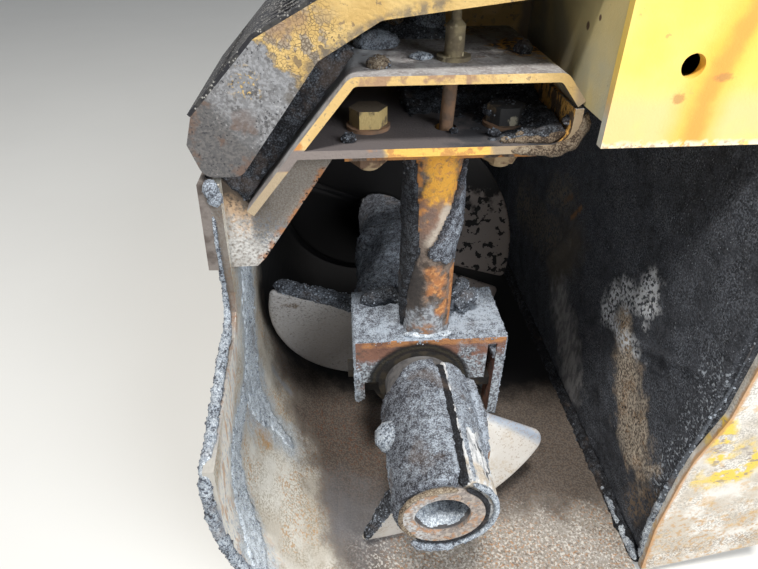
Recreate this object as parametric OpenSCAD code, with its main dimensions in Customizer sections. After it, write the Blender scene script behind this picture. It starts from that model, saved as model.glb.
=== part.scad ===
// Outboard end of a spreading auger: the hollow screw shaft with its cast flight segments, the
// hanger that carries it, the curved trough plate, the mesh guard and the end of the frame box.
// Y is 0 on the inner face of the mounting flange and runs outboard in the negative direction.
// The screw axis is X = 0, Z = 0. Angles round the shaft run from +X towards +Z.

/* [Screw shaft] */
// Outside diameter of the shaft tube
shaft_d = 76.2; // [70:0.1:80]
// Bore of the shaft tube between its end sockets
shaft_bore_d = 44; // [36:0.1:48]
// Bore of the socket at each end of the shaft
socket_d = 50.8; // [50:0.1:56]
// Depth of the socket at each end of the shaft
socket_l = 60; // [50:1:66]
// Length of the drive end past the mounting flange
drive_tail = 60; // [45:1:100]
// Diameter of the cross holes and of the segment bolts
cross_bolt_d = 16; // [12:1:18]

/* [Flight segments] */
// Outside diameter of the flights
flight_d = 356; // [320:2:364]
// Advance of the flights in one turn, left handed
flight_pitch = 305; // [280:1:330]
// Thickness of a flight at its root
flight_root_t = 13; // [9:1:16]
// Thickness of a flight at its rim
flight_rim_t = 8; // [5:1:12]
// Wall of the half hub that carries a flight
hub_wall = 12; // [9:1:14]
// Number of half turn segments inboard of the hanger
inner_segments = 4; // [2:1:6]
// Distance from the shaft's outer end to the first inner segment
inner_start = 281; // [270:1:290]
// Angle at which the first inner segment starts
inner_from_angle = 160; // [140:1:180]
// Angle at which the flight of the outer segment starts
outer_flight_from = 246; // [200:1:260]
// Angle that the flight of the outer segment covers
outer_flight_turn = 86; // [60:1:100]
// How far the outer half hub is turned past the middle of its flight
outer_hub_skew = 39; // [30:1:46]
// Gap between the innermost flight and the boss of the flange bearing
end_gap = 25; // [12:1:40]

/* [Hanger] */
// Distance from the shaft's outer end to the hanger post
post_reach = 195; // [185:1:215]
// Sideways offset of the hanger post
post_x = 8; // [0:1:14]
// Outside diameter of the hanger post
post_d = 50.8; // [44:0.1:60]
// Bore of the hanger post
post_bore_d = 30; // [20:1:34]
// Left face of the saddle
saddle_left = -70; // [-80:1:-64]
// Right face of the saddle
saddle_right = 92; // [86:1:100]
// Length of the saddle along the shaft
saddle_l = 84; // [70:1:96]
// Thickness of the saddle plates
saddle_t = 9; // [6:1:12]
// Height of the saddle's top face above the screw axis
saddle_z = 60; // [58:1:70]
// Wall of the split bush round the shaft
bush_wall = 7; // [5:1:9]
// Running clearance of the shaft in its bushes
running_gap = 0.08; // [0.02:0.01:0.1]
// Lean of the grease pipe from upright
pipe_lean = 2.5; // [0:0.1:3]
// Sideways place of the grease nipple
nipple_x = 18; // [12:1:20]

/* [Hanger beam] */
// Distance from the shaft's outer end to the beam's front edges
beam_front = 148; // [140:1:155]
// Depth of the beam along the shaft
beam_depth = 170; // [150:1:190]
// Thickness of the beam plates
beam_t = 7; // [5:1:9]
// Height of the beam's lower face above the screw axis
beam_low_z = 275; // [265:1:285]
// Height of the beam between its outer faces
beam_h = 64; // [58:1:72]
// Left end of the beam's flat top
beam_top_left = -68; // [-80:1:-60]
// Right end of the beam's flat top
beam_top_right = 98; // [92:1:104]
// Lower end of the sloped leg, sideways
leg_foot_x = -158; // [-165:1:-150]
// Lower end of the sloped leg, height
leg_foot_z = 230; // [222:1:238]
// Distance of each hanger bolt from the post
hanger_bolt_x = 60; // [52:1:66]
// Width across flats of the hanger bolt heads
hanger_bolt_af = 28.6; // [24:0.1:32]

/* [Trough] */
// Least gap between the flights and the trough
trough_gap = 12; // [8:1:20]
// Thickness of the trough plate
trough_t = 9; // [6:1:12]
// Height of the trough's arc centre above the screw axis
trough_rise = 0; // [0:1:6]
// Inward lean of the trough wall from upright
wall_lean = 2.8; // [0:0.1:5]
// Right edge of the trough floor
trough_right = 243; // [230:1:250]
// Height of the trough wall above the screw axis
wall_top = 254; // [246:1:258]
// Distance from the shaft's outer end to the wall's full height
wall_full_from = 150; // [140:1:158]
// Height of the low wall at the outer end
wall_low_z = 81; // [60:1:95]
// Height of the low wall where the full wall starts
wall_low_end_z = 102; // [96:1:120]

/* [Frame box] */
// Left face of the frame box
box_left = 116; // [112:1:122]
// Width of the frame box
box_w = 272; // [250:1:290]
// Height of the frame box's lower face
box_low_z = 313; // [305:1:318]
// Height of the frame box
box_h = 127; // [110:1:140]
// Thickness of the frame box plates
box_t = 8; // [6:1:10]
// How far the end plate reaches below the box
end_drop = 17; // [10:1:25]
// How far the end plate reaches above the box
end_rise = 6; // [3:1:10]
// Diameter of the hole in the end plate
end_hole_d = 17; // [14:1:26]
// Distance from the shaft's outer end to the end plate
end_plate_from = 104; // [95:1:120]

/* [Rear wall] */
// Gap between the trough floor and the rear wall
rear_gap = 14; // [6:1:20]
// Thickness of the rear wall and its ribs
rear_t = 8; // [6:1:10]
// Distance from the shaft's outer end to the rear wall's end plate
rear_from = 36; // [25:1:60]
// Height of the rear wall's outer corner above the screw axis
rear_corner_z = 190; // [150:1:230]
// Height of the rear wall's lower edge above the screw axis
rear_low_z = -192; // [-200:1:-170]
// Rise of the ribs' lower edge from the wall to their free side
rib_rise = 44; // [20:1:70]
// Number of ribs behind the rear wall, inboard of its end plate
rear_ribs = 2; // [1:1:4]

/* [Guard] */
// Lower end of the guard arm, sideways
arm_foot_x = -197; // [-200:1:-192]
// Thickness of the guard arm
arm_t = 6; // [4:1:8]
// Thickness of the expanded mesh
mesh_t = 3; // [2:0.5:4]
// Long way of one mesh opening
mesh_long = 40; // [30:1:50]
// Short way of one mesh opening
mesh_short = 18; // [14:1:24]
// Width of a mesh strand
strand_w = 4; // [3:0.5:6]

/* [Mounting flange] */
// Thickness of the mounting flange
flange_t = 16; // [12:1:20]
// Pitch circle of the mounting bolts
flange_pcd = 280; // [260:1:300]
// Number of mounting bolts
flange_bolts = 8; // [6:1:10]
// Diameter of the mounting bolt holes
flange_hole_d = 18; // [14:1:22]
// Width of the square foot of the flange bearing
bearing_w = 150; // [140:1:160]
// Length of the flange bearing's boss
bearing_boss_l = 34; // [26:1:40]
// Thickness of the flange bearing's foot
bearing_foot_t = 14; // [10:1:18]

/* [Hidden] */
$fn = 64;

yellow = "#e3ae3c";
rust = "#8a5a3c";
steel = "#8d8983";
crust = "#4c5056";
cast = "#b4aca0";

shaft_r = shaft_d / 2;
flight_r = flight_d / 2;
hub_r = shaft_r + hub_wall;
segment_l = flight_pitch / 2;
hub_turn = 176;
outer_flight_start = segment_l - flight_pitch * outer_flight_turn / 360;
part_gap = 1;
blade_inset = 3;
outer_hub_from = 4;
outer_hub_angle = outer_flight_from + outer_flight_turn / 2 - hub_turn / 2 + outer_hub_skew;
outer_bolt = [79, 163];
bolt_share = 0.22;
bolt_head_r = 11;
bolt_head_h = 10;
drive_pin_in = 25;

flange_margin = 8;
flange_shoulder = 18;
flange_step_x = -60;
flange_bore_gap = 6;
bearing_boss_r = 62;
bearing_bolt_inset = 20;
bearing_bolt_af = 24;
bush_r = shaft_r + running_gap + bush_wall;
leg_low = -24;
strap_low = -58;
strap_l = 30;
saddle_slot = 11;
cap_inset = 10;
cap_wall = 9;
cap_z = -8;
cap_foot_t = 12;
cap_bolt_h = 9;
saddle_w = saddle_right - saddle_left;
saddle_from = post_reach - post_d / 2 - 3;
saddle_to = saddle_from + saddle_l;
flights_end = inner_start + inner_segments * segment_l;
boss_from = flights_end + flight_root_t / 2 + end_gap;
flange_from = boss_from + bearing_boss_l + bearing_foot_t;
reach = flange_from + flange_t;

bolt_set = 4;
hanger_hole_r = 10;
hole_l = 20;
nut_h = 15;
bolt_end = 5;
washer_t = 3;
post_flange_t = 10;
post_flange_w = 2 * hanger_bolt_x + 44;
pipe_r = 6;
nipple_r = 8;
nipple_h = 26;

beam_top_z = beam_low_z + beam_h;
beam_end_drop = 22;
beam_bend_r = 12;
beam_end_r = 20;
beam_to = beam_front + beam_depth;
back_plate_to = beam_to + beam_t + 1;
floor_z = -flight_r - trough_gap;
trough_r = trough_rise - floor_z;
lip_h = 84;
lip_t = 9;
wall_foot_l = 14;
wall_foot_h = 14;
wall_cut = 11;
gusset_low_z = 166;
gusset_toe = 8;
gusset_top_x = -80;
gusset_t = 8;
gusset_inset = 14;
end_plate_to = end_plate_from + box_t;
end_hole_in = 51;
end_hole_up = 41;
box_right = box_left + box_w;
box_top_z = box_low_z + box_h;

function unit(v) = v / norm(v);
function left_of(v) = [-v[1], v[0]];
function polar(r, a) = [r * cos(a), r * sin(a)];
function reversed(p) = [for (i = [len(p) - 1 : -1 : 0]) p[i]];

// Points of an arc of radius r that rounds the corner b between a and c
function corner_arc(a, b, c, r, n) =
    let (u = unit(a - b), v = unit(c - b), half = acos(u * v) / 2,
        m = b + unit(u + v) * r / sin(half), p = b + u * r / tan(half), q = b + v * r / tan(half),
        from = atan2(p[1] - m[1], p[0] - m[0]), to = atan2(q[1] - m[1], q[0] - m[0]),
        sweep = to - from > 180 ? to - from - 360 : (to - from < -180 ? to - from + 360 : to - from))
    [for (k = [0 : n]) m + polar(r, from + sweep * k / n)];

// An open path with its inner corners rounded
function rounded(p, r, n = 6) = [for (i = [0 : len(p) - 1])
    each (i == 0 || i == len(p) - 1 ? [p[i]] : corner_arc(p[i - 1], p[i], p[i + 1], r, n))];

// The same path moved sideways by t, to the left of its direction
function beside(p, t) = [for (i = [0 : len(p) - 1])
    let (u = left_of(unit(p[max(i, 1)] - p[max(i, 1) - 1])),
        v = left_of(unit(p[min(i + 1, len(p) - 1)] - p[min(i + 1, len(p) - 1) - 1])))
    p[i] + (u + v) * t / (1 + u * v)];

// A plate bent along a path, as a flat section
module bent(p, t) {
    polygon(concat(p, reversed(beside(p, t))));
}

// Extrudes a section drawn in X and Z from distance a to distance b off the shaft's outer end
module along(a, b) {
    translate([0, b - reach, 0])
        rotate([90, 0, 0])
            linear_extrude(b - a)
                children();
}

// A round bar along the screw axis, between two distances off the shaft's outer end
module bar(a, b, r, x = 0, z = 0) {
    translate([x, b - reach, z])
        rotate([90, 0, 0])
            cylinder(h = b - a, r = r);
}

// A part of a ring section between two angles
module sector(r1, r2, from, turn) {
    steps = max(6, ceil(turn / 6));
    polygon(concat([for (k = [0 : steps]) polar(r2, from + turn * k / steps)],
        [for (k = [steps : -1 : 0]) polar(r1, from + turn * k / steps)]));
}

// One left handed helical blade, starting at distance y0 and angle a0
module blade(y0, a0, turn) {
    steps = ceil(turn / 10);
    inner = hub_r - 3;
    ring = [for (k = [0 : steps])
        let (a = a0 + turn * k / steps, y = y0 - reach + flight_pitch * turn * k / steps / 360)
        each [[inner * cos(a), y - flight_root_t / 2, inner * sin(a)],
            [flight_r * cos(a), y - flight_rim_t / 2, flight_r * sin(a)],
            [flight_r * cos(a), y + flight_rim_t / 2, flight_r * sin(a)],
            [inner * cos(a), y + flight_root_t / 2, inner * sin(a)]]];
    sides = [for (k = [0 : steps - 1], s = [0 : 3]) let (i = 4 * k + s, j = 4 * k + (s + 1) % 4)
        each [[i, i + 4, j], [j, i + 4, j + 4]]];
    last = 4 * steps;
    ends = [[0, 1, 2], [0, 2, 3], [last + 2, last + 1, last], [last + 3, last + 2, last]];
    polyhedron(points = ring, faces = concat(sides, ends));
}

// A half hub shell between two angles, over one segment length
module half_hub(y0, length, from, turn) {
    difference() {
        bar(y0, y0 + length, hub_r);
        bar(y0 - 1, y0 + length + 1, shaft_r);
        along(y0 - 1, y0 + length + 1)
            sector(0, hub_r * 2, from + turn, 360 - turn);
    }
}

module mount_flange() {
    left = -trough_r - trough_t - flange_margin;
    low = floor_z - trough_t - flange_margin;
    right = box_right + flange_margin;
    top = box_top_z + flange_margin;
    shoulder = wall_top + flange_shoulder;
    color(yellow)
        difference() {
            along(flange_from, reach)
                polygon([[left, low], [right, low], [right, top], [box_left - flange_margin, top],
                    [flange_step_x, shoulder], [left, shoulder]]);
            bar(flange_from - 1, reach + 1, shaft_r + flange_bore_gap);
            for (k = [0 : flange_bolts - 1])
                let (p = polar(flange_pcd / 2, 360 / flange_bolts * (k + 0.5)))
                    bar(flange_from - 1, reach + 1, flange_hole_d / 2, p[0], p[1]);
        }
}

module flange_bearing() {
    color(crust)
        difference() {
            union() {
                bar(boss_from, flange_from - bearing_foot_t, bearing_boss_r);
                along(flange_from - bearing_foot_t, flange_from)
                    square(bearing_w, center = true);
            }
            bar(boss_from - 1, flange_from + 1, shaft_r + running_gap);
        }
}

module bearing_bolts() {
    off = bearing_w / 2 - bearing_bolt_inset;
    color(steel)
        for (x = [-off, off], z = [-off, off])
            translate([x, flange_from - bearing_foot_t - reach, z])
                rotate([90, 0, 0])
                    cylinder(h = bolt_head_h, r = bearing_bolt_af / sqrt(3), $fn = 6);
}

// Inner face of the trough plate: the floor, the arc and the leaning wall
function trough_path() =
    let (steps = 18, arc = 90 + wall_lean,
        low = [-trough_r * cos(wall_lean), trough_rise + trough_r * sin(wall_lean)])
    concat([[trough_right, floor_z]],
        [for (k = [0 : steps]) [0, trough_rise] + polar(trough_r, 270 - arc * k / steps)],
        [[low[0] + (wall_top - low[1]) * tan(wall_lean), wall_top]]);

module trough_plate() {
    color(cast)
        difference() {
            along(0, flange_from)
                bent(trough_path(), trough_t);
            translate([-trough_r - 60, -reach, 0])
                rotate([90, 0, 90])
                    linear_extrude(trough_r)
                        polygon([[-1, wall_low_z], [wall_full_from - wall_foot_l, wall_low_end_z],
                            [wall_full_from + 0.7 * wall_cut, wall_low_end_z + wall_foot_h],
                            [wall_full_from + wall_cut, wall_low_end_z + 2.5 * wall_foot_h],
                            [wall_full_from, wall_top - 2 * wall_foot_h],
                            [wall_full_from, wall_top + 1], [-1, wall_top + 1]]);
        }
}

module trough_lip() {
    path = trough_path();
    top = path[len(path) - 1];
    low = top + unit(path[len(path) - 2] - top) * lip_h;
    color(rust)
        along(wall_full_from, back_plate_to)
            bent(beside([low, top], trough_t), lip_t);
}

// Direction of the sloped leg, from its foot to the beam's flat top
leg_way = unit([beam_top_left - leg_foot_x, beam_top_z - leg_foot_z]);

// Inner face of the sloped leg, as a point at height z
function leg_inside(z) =
    [leg_foot_x + (z - leg_foot_z) * leg_way[0] / leg_way[1] + beam_t / leg_way[1], z];

// Inner face of the trough wall, as a point at height z
function wall_inside(z) =
    let (path = trough_path(), a = path[len(path) - 2], b = path[len(path) - 1])
    [a[0] + (z - a[1]) * (b[0] - a[0]) / (b[1] - a[1]), z];

module gusset_section() {
    foot = [leg_foot_x, leg_foot_z];
    toe = [leg_foot_x + gusset_toe, gusset_low_z + gusset_toe];
    polygon([wall_inside(gusset_low_z), [leg_foot_x, gusset_low_z], toe, [gusset_top_x, beam_low_z],
        leg_inside(beam_low_z), foot - left_of(leg_way) * beam_t, foot, wall_inside(wall_top)]);
}

module gusset_front() {
    color(rust)
        along(beam_front + gusset_inset, beam_front + gusset_inset + gusset_t)
            gusset_section();
}

module gusset_rear() {
    color(rust)
        along(beam_to - gusset_t, beam_to)
            gusset_section();
}

module beam_top_plate() {
    color(yellow)
        difference() {
            along(beam_front, beam_to)
                bent(rounded([[leg_foot_x, leg_foot_z], [beam_top_left, beam_top_z],
                    [beam_top_right, beam_top_z], [box_left, beam_top_z - beam_end_drop]],
                    beam_bend_r), -beam_t);
            translate([nipple_x, post_reach - reach, beam_low_z])
                cylinder(h = 2 * beam_h, r = pipe_r + 2);
        }
}

module beam_bottom_plate() {
    color(yellow)
        difference() {
            along(beam_front, beam_to)
                difference() {
                    bent(rounded([[leg_foot_x, beam_low_z], [box_left, beam_low_z],
                        [box_left, beam_top_z - beam_end_drop - beam_t + 1]], beam_end_r), beam_t);
                    polygon([leg_inside(beam_low_z - beam_h), leg_inside(beam_top_z),
                        [2 * leg_foot_x, beam_top_z], [2 * leg_foot_x, beam_low_z - beam_h]]);
                }
            hanger_holes(beam_low_z);
        }
}

// The bolt holes and the pipe's hole through a plate whose lower face is at height z
module hanger_holes(z) {
    translate([pipe_x(z), post_reach - reach, z - 1])
        cylinder(h = hole_l, r = pipe_r + 4);
    for (x = [-hanger_bolt_x, hanger_bolt_x])
        translate([post_x + x, post_reach + bolt_set - reach, z - 1])
            cylinder(h = hole_l, r = hanger_hole_r);
}

// Lower and upper edge of the guard arm
arm_lower = [[arm_foot_x + 9, wall_top + 7], [-158, wall_top + 7], [-91, 350], [-44, 377], [box_left, 396]];
arm_upper = [[arm_foot_x, 289], [-190, 311], [-136, 366], [-88, 391], [box_left, 428]];
arm_corner_r = 12;
arm_bend_r = 5;

module arm_section() {
    polygon(concat(rounded(concat([arm_upper[0]], arm_lower), arm_corner_r),
        reversed(rounded(arm_upper, arm_bend_r))));
}

module beam_back_plate() {
    color(yellow)
        along(beam_to, back_plate_to)
            union() {
                polygon([leg_inside(beam_low_z) - [beam_t + 2, 0], [box_left, beam_low_z],
                    arm_lower[4] + [0, 4], arm_lower[3] + [0, 1], arm_lower[2]]);
                arm_section();
            }
}

module hanger_bolts() {
    nut_z = beam_low_z - post_flange_t - nut_h;
    head_z = beam_low_z + beam_t + washer_t;
    color(rust)
        for (x = [-hanger_bolt_x, hanger_bolt_x])
            translate([post_x + x, post_reach + bolt_set - reach, 0]) {
                translate([0, 0, head_z])
                    cylinder(h = nut_h, r = hanger_bolt_af / sqrt(3), $fn = 6);
                translate([0, 0, nut_z - bolt_end])
                    cylinder(h = head_z + 1 - nut_z + bolt_end, r = hanger_hole_r - 1);
                translate([0, 0, nut_z])
                    cylinder(h = nut_h, r = hanger_bolt_af / sqrt(3), $fn = 6);
            }
}

module hanger_washers() {
    color(rust)
        for (x = [-hanger_bolt_x, hanger_bolt_x])
            translate([post_x + x, post_reach + bolt_set - reach, beam_low_z + beam_t])
                difference() {
                    cylinder(h = washer_t, r = hanger_bolt_af * 2 / 3);
                    translate([0, 0, -1])
                        cylinder(h = washer_t + 2, r = hanger_hole_r - 1);
                }
}

module post_flange() {
    color(rust)
        difference() {
            translate([post_x - post_flange_w / 2, post_reach - post_d / 2 - bolt_set - reach,
                beam_low_z - post_flange_t])
                cube([post_flange_w, post_d + 3 * bolt_set, post_flange_t]);
            hanger_holes(beam_low_z - post_flange_t);
        }
}

module hanger_post() {
    color(rust)
        translate([post_x, post_reach - reach, saddle_z])
            difference() {
                cylinder(h = beam_low_z - post_flange_t - saddle_z, r = post_d / 2);
                translate([0, 0, -1])
                    cylinder(h = beam_low_z, r = post_bore_d / 2);
            }
}

// Sideways place of the leaning grease pipe at height z
function pipe_x(z) = nipple_x - (beam_top_z - z) * tan(pipe_lean);

module grease_pipe() {
    length = beam_top_z - saddle_z;
    color(rust)
        translate([nipple_x, post_reach - reach, beam_top_z])
            difference() {
                rotate([0, pipe_lean, 0])
                    translate([0, 0, 2 - length])
                        cylinder(h = length, r = pipe_r);
                rotate([0, pipe_lean, 0])
                    translate([0, 0, -2 * length])
                        cylinder(h = 3 * length, r = pipe_r / 2);
                translate([-2 * pipe_r, -2 * pipe_r, 0])
                    cube(4 * pipe_r);
            }
}

module grease_nipple() {
    color(rust)
        translate([nipple_x, post_reach - reach, beam_top_z]) {
            cylinder(h = washer_t, r = nipple_r + 6);
            cylinder(h = nipple_h, r = nipple_r);
            translate([0, 0, nipple_h])
                cylinder(h = nipple_r / 2, r1 = nipple_r, r2 = nipple_r / 2);
            translate([0, 0, nipple_h])
                cylinder(h = 1.5 * nipple_r, r = nipple_r / 2);
        }
}

module hanger_saddle() {
    color(rust)
        difference() {
            union() {
                along(saddle_from, saddle_to)
                    difference() {
                        translate([saddle_left, leg_low])
                            square([saddle_w, saddle_z - leg_low]);
                        translate([saddle_left + saddle_t, leg_low - 1])
                            square([saddle_w - 2 * saddle_t, saddle_z - leg_low + 1 - saddle_t]);
                    }
                for (a = [saddle_from, saddle_to - saddle_t])
                    along(a, a + saddle_t)
                        translate([saddle_left + 1, 2])
                            square([saddle_w - saddle_t - saddle_slot, saddle_z - 4]);
                along(saddle_from, saddle_from + strap_l)
                    translate([saddle_right - saddle_t, strap_low])
                        square([saddle_t, leg_low - strap_low + 1]);
            }
            bar(saddle_from - 1, saddle_to + 1, bush_r);
            translate([post_x, post_reach - reach, 0])
                cylinder(h = saddle_z + 1, r = pipe_r * 2);
        }
}

module bush_half(from) {
    difference() {
        bar(saddle_from, saddle_to, bush_r);
        bar(saddle_from - 1, saddle_to + 1, shaft_r + running_gap);
        along(saddle_from - 1, saddle_to + 1)
            translate([-2 * bush_r, from > 0 ? -2 * bush_r : 0])
                square([4 * bush_r, 2 * bush_r]);
    }
}

module bush_upper() {
    color(steel)
        bush_half(1);
}

module bush_lower() {
    color(steel)
        bush_half(-1);
}

module bearing_cap() {
    color(rust)
        difference() {
            union() {
                bar(saddle_from + cap_inset, saddle_to - cap_inset, bush_r + cap_wall);
                along(saddle_from + cap_inset, saddle_to - cap_inset)
                    translate([saddle_left + saddle_t, cap_z - cap_foot_t])
                        square([saddle_w - 2 * saddle_t, cap_foot_t]);
            }
            bar(saddle_from, saddle_to, bush_r);
            along(saddle_from, saddle_to)
                translate([-saddle_w, cap_z])
                    square([2 * saddle_w, saddle_w]);
        }
}

module cap_bolts() {
    color(rust)
        for (x = [saddle_left - cap_bolt_h, saddle_right])
            translate([x, (saddle_from + saddle_to) / 2 - reach, cap_z - cap_foot_t / 2])
                rotate([0, 90, 0])
                    cylinder(h = cap_bolt_h, r = bolt_head_r, $fn = 6);
}

module guard_arm() {
    color(yellow)
        along(wall_full_from, wall_full_from + arm_t)
            arm_section();
}

module diamond(x, y) {
    polygon([[-x, 0], [0, -y], [x, 0], [0, y]]);
}

module guard_mesh() {
    path = [for (i = [1 : len(arm_upper) - 1]) arm_upper[i]];
    from = wall_full_from;
    to = back_plate_to;
    rows = floor((to - from - 2 * strand_w) / mesh_short);
    color(crust)
        difference() {
            along(from, to)
                bent(path, mesh_t);
            for (s = [0 : len(path) - 2])
                let (a = path[s], b = path[s + 1], l = norm(b - a), turn = atan2(b[1] - a[1], b[0] - a[0]),
                    cells = floor((l - strand_w) / mesh_long))
                    translate([a[0], from - reach, a[1]])
                        rotate([0, -turn, 0])
                            for (i = [0 : 2 * rows - 2], j = [0 : cells - 1 - i % 2])
                                translate([l / 2 + (j - (cells - 1 - i % 2) / 2) * mesh_long,
                                    strand_w + mesh_short / 2 * (i + 1), -5])
                                    linear_extrude(mesh_t + 10)
                                        diamond(mesh_long / 2 - strand_w, (mesh_short - strand_w) / 2);
        }
}

rear_x = trough_right + rear_gap;
rear_pitch = (flange_from - rear_from) / (rear_ribs + 1);

// Bulged left edge of the rear wall's end plate, from its low corner up
rear_edge = [[rear_x - 8, rear_low_z], [rear_x - 15, -108], [rear_x - 13, -29], [rear_x - 10, 7],
    [rear_x + 4, 65], [rear_x + 6, rear_corner_z]];
rear_edge_r = 40;

// The rear wall, as a plate seen along X, up to the frame box
module rear_wall() {
    color(crust)
        translate([rear_x, -reach, 0])
            rotate([90, 0, 90])
                linear_extrude(rear_t)
                    polygon([[rear_from + rear_t, rear_low_z], [flange_from, rear_low_z],
                        [flange_from, box_low_z], [end_plate_to, box_low_z],
                        [end_plate_to, box_low_z - end_drop], [end_plate_from, box_low_z - end_drop],
                        [rear_from + rear_t, rear_corner_z]]);
}

// A rib behind the rear wall, with its top at height z
module rib_section(z) {
    polygon([[rear_x + rear_t, rear_low_z], [box_right, rear_low_z + rib_rise], [box_right, z],
        [rear_x + rear_t, z]]);
}

module rear_end_plate() {
    color(yellow)
        along(rear_from, rear_from + rear_t)
            polygon(concat(rounded(rear_edge, rear_edge_r),
                [[box_right, rear_corner_z], [box_right, rear_low_z + rib_rise]]));
}

module rear_ribs_inner() {
    color(yellow)
        for (i = [1 : rear_ribs])
            along(rear_from + i * rear_pitch, rear_from + i * rear_pitch + rear_t)
                rib_section(box_low_z);
}

module frame_end_plate() {
    color(yellow)
        difference() {
            along(end_plate_from, end_plate_to)
                translate([box_left - 1, box_low_z - end_drop])
                    square([box_w + 2, box_h + end_drop + end_rise]);
            bar(end_plate_from - 1, end_plate_to + 1, end_hole_d / 2, box_left + end_hole_in,
                box_low_z + end_hole_up);
        }
}

module frame_side_wall() {
    color(yellow)
        along(end_plate_to, flange_from)
            translate([box_left, box_low_z])
                square([box_t, box_h]);
}

module frame_outer_wall() {
    color(yellow)
        along(end_plate_to, flange_from)
            translate([box_right - box_t, box_low_z])
                square([box_t, box_h]);
}

module frame_top_plate() {
    color(yellow)
        along(end_plate_to, flange_from)
            translate([box_left + box_t, box_top_z - box_t])
                square([box_w - 2 * box_t, box_t]);
}

module frame_bottom_plate() {
    color(yellow)
        along(end_plate_to, flange_from)
            translate([box_left + box_t, box_low_z])
                square([box_w - 2 * box_t, box_t]);
}

// Distance and angle of each segment bolt: one in the outer segment and two in each inner one
bolt_rows = concat([outer_bolt], [for (i = [0 : inner_segments - 1], k = [bolt_share, 1 - bolt_share])
    [inner_start + (i + k) * segment_l, inner_from_angle - 90 + 180 * i]]);

module cross_holes(r) {
    for (b = bolt_rows)
        translate([0, b[0] - reach, 0])
            rotate([0, -b[1], 0])
                rotate([0, 90, 0])
                    translate([0, 0, -2 * hub_r])
                        cylinder(h = 4 * hub_r, r = r);
}

module shaft_tube() {
    color(crust)
        difference() {
            bar(0, reach + drive_tail, shaft_r);
            bar(-1, reach + drive_tail + 1, shaft_bore_d / 2);
            bar(-1, socket_l, socket_d / 2);
            bar(reach + drive_tail - socket_l, reach + drive_tail + 1, socket_d / 2);
            cross_holes(cross_bolt_d / 2);
            translate([0, drive_tail - drive_pin_in, -shaft_d])
                cylinder(h = 2 * shaft_d, r = cross_bolt_d / 2);
        }
}

module outer_segment() {
    color(cast)
        difference() {
            union() {
                half_hub(outer_hub_from, segment_l - outer_hub_from, outer_hub_angle, hub_turn);
                blade(outer_flight_start, outer_flight_from, outer_flight_turn);
            }
            bar(-1, 2 * segment_l, shaft_r);
            cross_holes(cross_bolt_d / 2);
        }
}

module inner_segments_from(side) {
    color(cast)
        for (i = [side : 2 : inner_segments - 1])
            difference() {
                union() {
                    half_hub(inner_start + i * segment_l + part_gap, segment_l - 2 * part_gap,
                        inner_from_angle + 180 * i + (180 - hub_turn) / 2, hub_turn);
                    blade(inner_start + i * segment_l + blade_inset * flight_pitch / 360,
                        inner_from_angle + 180 * i + blade_inset, 180 - 2 * blade_inset);
                }
                bar(0, reach, shaft_r);
                cross_holes(cross_bolt_d / 2);
            }
}

module inner_segments_lower() {
    inner_segments_from(0);
}

module inner_segments_upper() {
    inner_segments_from(1);
}

module segment_bolts() {
    color(rust)
        for (b = bolt_rows)
            translate([0, b[0] - reach, 0])
                rotate([0, -b[1], 0])
                    rotate([0, 90, 0]) {
                        translate([0, 0, shaft_r])
                            cylinder(h = bolt_head_h + 2, r = bolt_head_r);
                        translate([0, 0, -hub_r])
                            cylinder(h = hub_r + shaft_r + 1, r = cross_bolt_d / 2);
                        translate([0, 0, -hub_r - bolt_head_h])
                            cylinder(h = bolt_head_h, r = bolt_head_r);
                    }
}

rear_wall();
rear_end_plate();
rear_ribs_inner();
mount_flange();
flange_bearing();
bearing_bolts();
trough_plate();
trough_lip();
gusset_front();
gusset_rear();
beam_top_plate();
beam_bottom_plate();
beam_back_plate();
hanger_bolts();
hanger_washers();
post_flange();
hanger_post();
grease_pipe();
grease_nipple();
hanger_saddle();
bush_upper();
bush_lower();
bearing_cap();
cap_bolts();
guard_arm();
guard_mesh();
frame_end_plate();
frame_side_wall();
frame_outer_wall();
frame_top_plate();
frame_bottom_plate();
shaft_tube();
outer_segment();
inner_segments_lower();
inner_segments_upper();
segment_bolts();
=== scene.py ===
"""Looks of the outboard end of a spreading auger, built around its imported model.

The script makes the asphalt caked on the steel, the flights, the guard's mesh, and the paint, rust
and dust of each plate, then the floor, the lights and the camera. Lengths are in metres in the
model's frame: the origin is on the mounting flange, +Y runs inboard and +Z is up.
"""

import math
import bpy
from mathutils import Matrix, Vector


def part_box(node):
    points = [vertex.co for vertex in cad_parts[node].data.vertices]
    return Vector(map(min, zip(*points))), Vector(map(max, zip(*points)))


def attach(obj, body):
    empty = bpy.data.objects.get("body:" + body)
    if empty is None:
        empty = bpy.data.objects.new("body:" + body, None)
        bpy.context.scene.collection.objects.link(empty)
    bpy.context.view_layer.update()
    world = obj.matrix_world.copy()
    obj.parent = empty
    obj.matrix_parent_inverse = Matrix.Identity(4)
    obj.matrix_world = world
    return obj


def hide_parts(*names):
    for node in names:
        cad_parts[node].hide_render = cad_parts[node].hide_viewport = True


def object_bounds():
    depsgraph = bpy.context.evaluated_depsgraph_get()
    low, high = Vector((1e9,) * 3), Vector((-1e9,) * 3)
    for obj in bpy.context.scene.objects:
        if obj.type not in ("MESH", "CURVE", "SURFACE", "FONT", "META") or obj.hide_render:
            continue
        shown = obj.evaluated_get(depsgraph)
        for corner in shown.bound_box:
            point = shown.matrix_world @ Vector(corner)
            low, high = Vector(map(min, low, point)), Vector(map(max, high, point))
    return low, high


bl_info = {
    "name": "Spreading Auger End",
    "version": (1, 0, 0),
    "blender": (4, 5, 0),
    "location": "3D View > Sidebar > Auger End",
    "description": "Caked, rusty and painted looks of the outboard end of a spreading auger",
    "category": "Object",
}

import bmesh
import bpy
import numpy as np
from mathutils import Euler, Vector

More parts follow.
